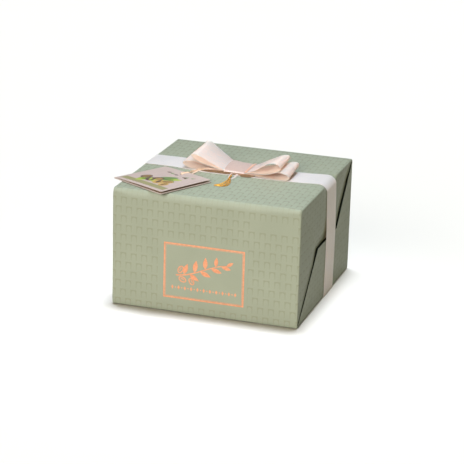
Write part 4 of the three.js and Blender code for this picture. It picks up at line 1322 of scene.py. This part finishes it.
def build_tag_print():
    """A pale stripe, and leaves with nuts in green, brown and gold."""
    shell = Shell()
    leaf_rise, nut_rise, heart_rise = 0.05, 0.08, 0.11
    line(shell, [(10.6, 3.2 + 2.42 * k) for k in range(30)], 9.2, tag_place)
    for u, v, length, width, degrees, ink in (
            (36.0, 33.0, 27.0, 15.0, 62, 1), (38.0, 36.0, 25.0, 14.0, 96, 1), (34.0, 38.0, 23.0, 13.0, 30, 1),
            (33.0, 30.0, 22.0, 12.0, 128, 2), (31.0, 27.0, 21.0, 11.0, 196, 2),
            (29.0, 33.0, 18.0, 9.0, 232, 1), (40.0, 42.0, 20.0, 9.0, 64, 2)):
        patch(shell, leaf_shape(u, v, length, width, degrees), tag_place, ink, leaf_rise, 4)
    for u, v, long, wide, degrees, ink, heart in (
            (31.0, 19.5, 15.0, 11.0, 24, 4, 3), (26.0, 31.0, 15.0, 10.5, -30, 4, 2),
            (34.5, 36.0, 14.0, 10.0, 52, 4, 3), (25.5, 45.0, 17.0, 12.5, -20, 3, 4),
            (31.5, 53.0, 16.0, 11.5, 40, 3, 4), (22.0, 57.5, 13.5, 10.0, 8, 3, 4)):
        patch(shell, oval(u, v, long, wide, degrees), tag_place, ink, nut_rise)
        patch(shell, oval(u + 0.4, v + 0.3, 0.70 * long, 0.30 * wide, degrees + 4), tag_place, heart,
              heart_rise)
    for u, v, length, width, degrees, ink in (
            (58.0, 50.0, 8.0, 3.6, 70, 4), (57.0, 53.5, 7.5, 3.4, 20, 1), (55.5, 57.0, 7.0, 3.2, -30, 4),
            (62.0, 60.0, 6.0, 2.6, 50, 1), (62.5, 20.0, 7.0, 3.0, 84, 4), (61.5, 27.0, 7.0, 3.0, 96, 1),
            (60.5, 34.0, 7.0, 3.0, 88, 4)):
        patch(shell, leaf_shape(u, v, length, width, degrees), tag_place, ink, leaf_rise)
    shell.make("tag_print", [ink_stripe, ink_leaf, ink_lime, ink_shell, ink_brown], "card",
               sharp=30)


build_foil()
build_tag_print()
build_tag_tie()
build_charm_tie()
build_charm()
build_ring()


# Camera, floor and light

# Focal length and side of the picture in pixels, and width of the sensor in millimetres
FOCAL, PICTURE, SENSOR = 1934.5, 464.0, 36.0
# Tone of the lamps under which the warm floor comes out white
COOL = (0.86, 1.0, 1.2)


def build_camera():
    """The camera that was fitted to the pack's corners."""
    across = Vector((0.953833, 0.30034, 0.0))
    rise = Vector((-0.095432, 0.303077, 0.948178))
    view = Vector((-0.284775, 0.904402, -0.317746))
    roll = math.radians(1.6205)
    right = across * math.cos(roll) + rise * math.sin(roll)
    up = rise * math.cos(roll) - across * math.sin(roll)
    data = bpy.data.cameras.new("camera")
    data.sensor_width = SENSOR
    data.lens = FOCAL * SENSOR / PICTURE
    data.clip_end = 50.0
    camera = add("camera", data)
    matrix = Matrix((right, up, -view)).transposed().to_4x4()
    matrix.translation = Vector((644.963, -2059.142, 789.257)) * MM
    camera.matrix_world = matrix
    bpy.context.scene.camera = camera


def build_floor():
    g = material_graph("pale_floor")
    cloud = g.grain(g.object_place(), 3.0)
    g.set(Base_Color=g.mix(cloud, (0.598, 0.534, 0.463), (0.607, 0.543, 0.471)), Roughness=0.9,
          Specular_IOR_Level=0.1)
    size = 9.0
    mesh = bpy.data.meshes.new("floor")
    corners = [(-size, -size, 0), (size, -size, 0), (size, size, 0), (-size, size, 0)]
    mesh.from_pydata(corners, [], [(0, 1, 2, 3)])
    mesh.materials.append(g.owner)
    floor = add("floor", mesh)
    floor.location.z = -0.0003
    return floor


def aim(way):
    """Turn of a lamp that shines this way."""
    return Vector(way).to_track_quat("-Z", "Y").to_euler()


def sun(name, energy, degrees, turn, colour=(1.0, 1.0, 1.0)):
    """A far lamp, seen this many degrees wide from the pack."""
    data = bpy.data.lights.new(name, "SUN")
    data.energy = energy
    data.color = colour
    data.angle = math.radians(degrees)
    lamp = add(name, data)
    lamp.rotation_euler = turn
    return lamp


def build_world():
    """A dim room with three soft glows: in front, behind and to the right."""
    world = bpy.data.worlds.new("studio")
    bpy.context.scene.world = world
    g = Graph(world)
    g.tree.nodes.clear()
    place = g.node("ShaderNodeTexCoord").outputs["Generated"]
    light = (0.050, 0.048, 0.010)
    for way, low, high, colour in (
            ((-0.22, -0.928, 0.309), 0.80, 0.98, (3.81, 3.86, 3.86)),
            ((0.22, 0.92, 0.34), 0.70, 0.98, (0.90, 1.01, 1.10)),
            ((0.95, -0.20, 0.24), 0.60, 0.97, (0.34, 0.31, 0.0))):
        toward = g.node("ShaderNodeVectorMath", {0: place, 1: Vector(way).normalized()},
                        operation="DOT_PRODUCT")
        glow = g.mix(g.ramp(toward.outputs["Value"], low, high), (0.0, 0.0, 0.0), colour)
        light = g.mix(1.0, light, glow, "ADD")
    background = g.node("ShaderNodeBackground", {"Color": light})
    g.node("ShaderNodeOutputWorld", {"Surface": background.outputs[0]})


def build_light(floor):
    build_world()
    sun("overhead", 3.15, 14, (math.radians(-7.5), 0.0, 0.0), COOL)
    data = bpy.data.lights.new("overhead_soft", "SPOT")
    data.energy = 62.0
    data.color = (0.88, 1.0, 1.18)
    data.spot_size = math.radians(25)
    data.spot_blend = 1.0
    data.shadow_soft_size = 0.15
    spot = add("overhead_soft", data)
    spot.location = (0.03, 0.06, 1.40)
    spot.rotation_euler = aim(Vector((0.0, -0.08, 0.14)) - spot.location)
    front = sun("front_soft", 4.12, 34, aim((0.12, 0.86, -0.38)))
    under = sun("floor_soft", 1.50, 14, (math.radians(-7.5), math.radians(-10.0), 0.0), COOL)
    # The floor has its own lamp, and the lamp in front leaves it out
    lit = bpy.data.collections.new("floor_soft_lights")
    lit.objects.link(floor)
    under.light_linking.receiver_collection = lit
    spared = bpy.data.collections.new("front_soft_spares")
    spared.objects.link(floor)
    spared.collection_objects[0].light_linking.link_state = "EXCLUDE"
    front.light_linking.receiver_collection = spared


build_camera()
build_light(build_floor())
bpy.context.scene.view_settings.view_transform = "Standard"
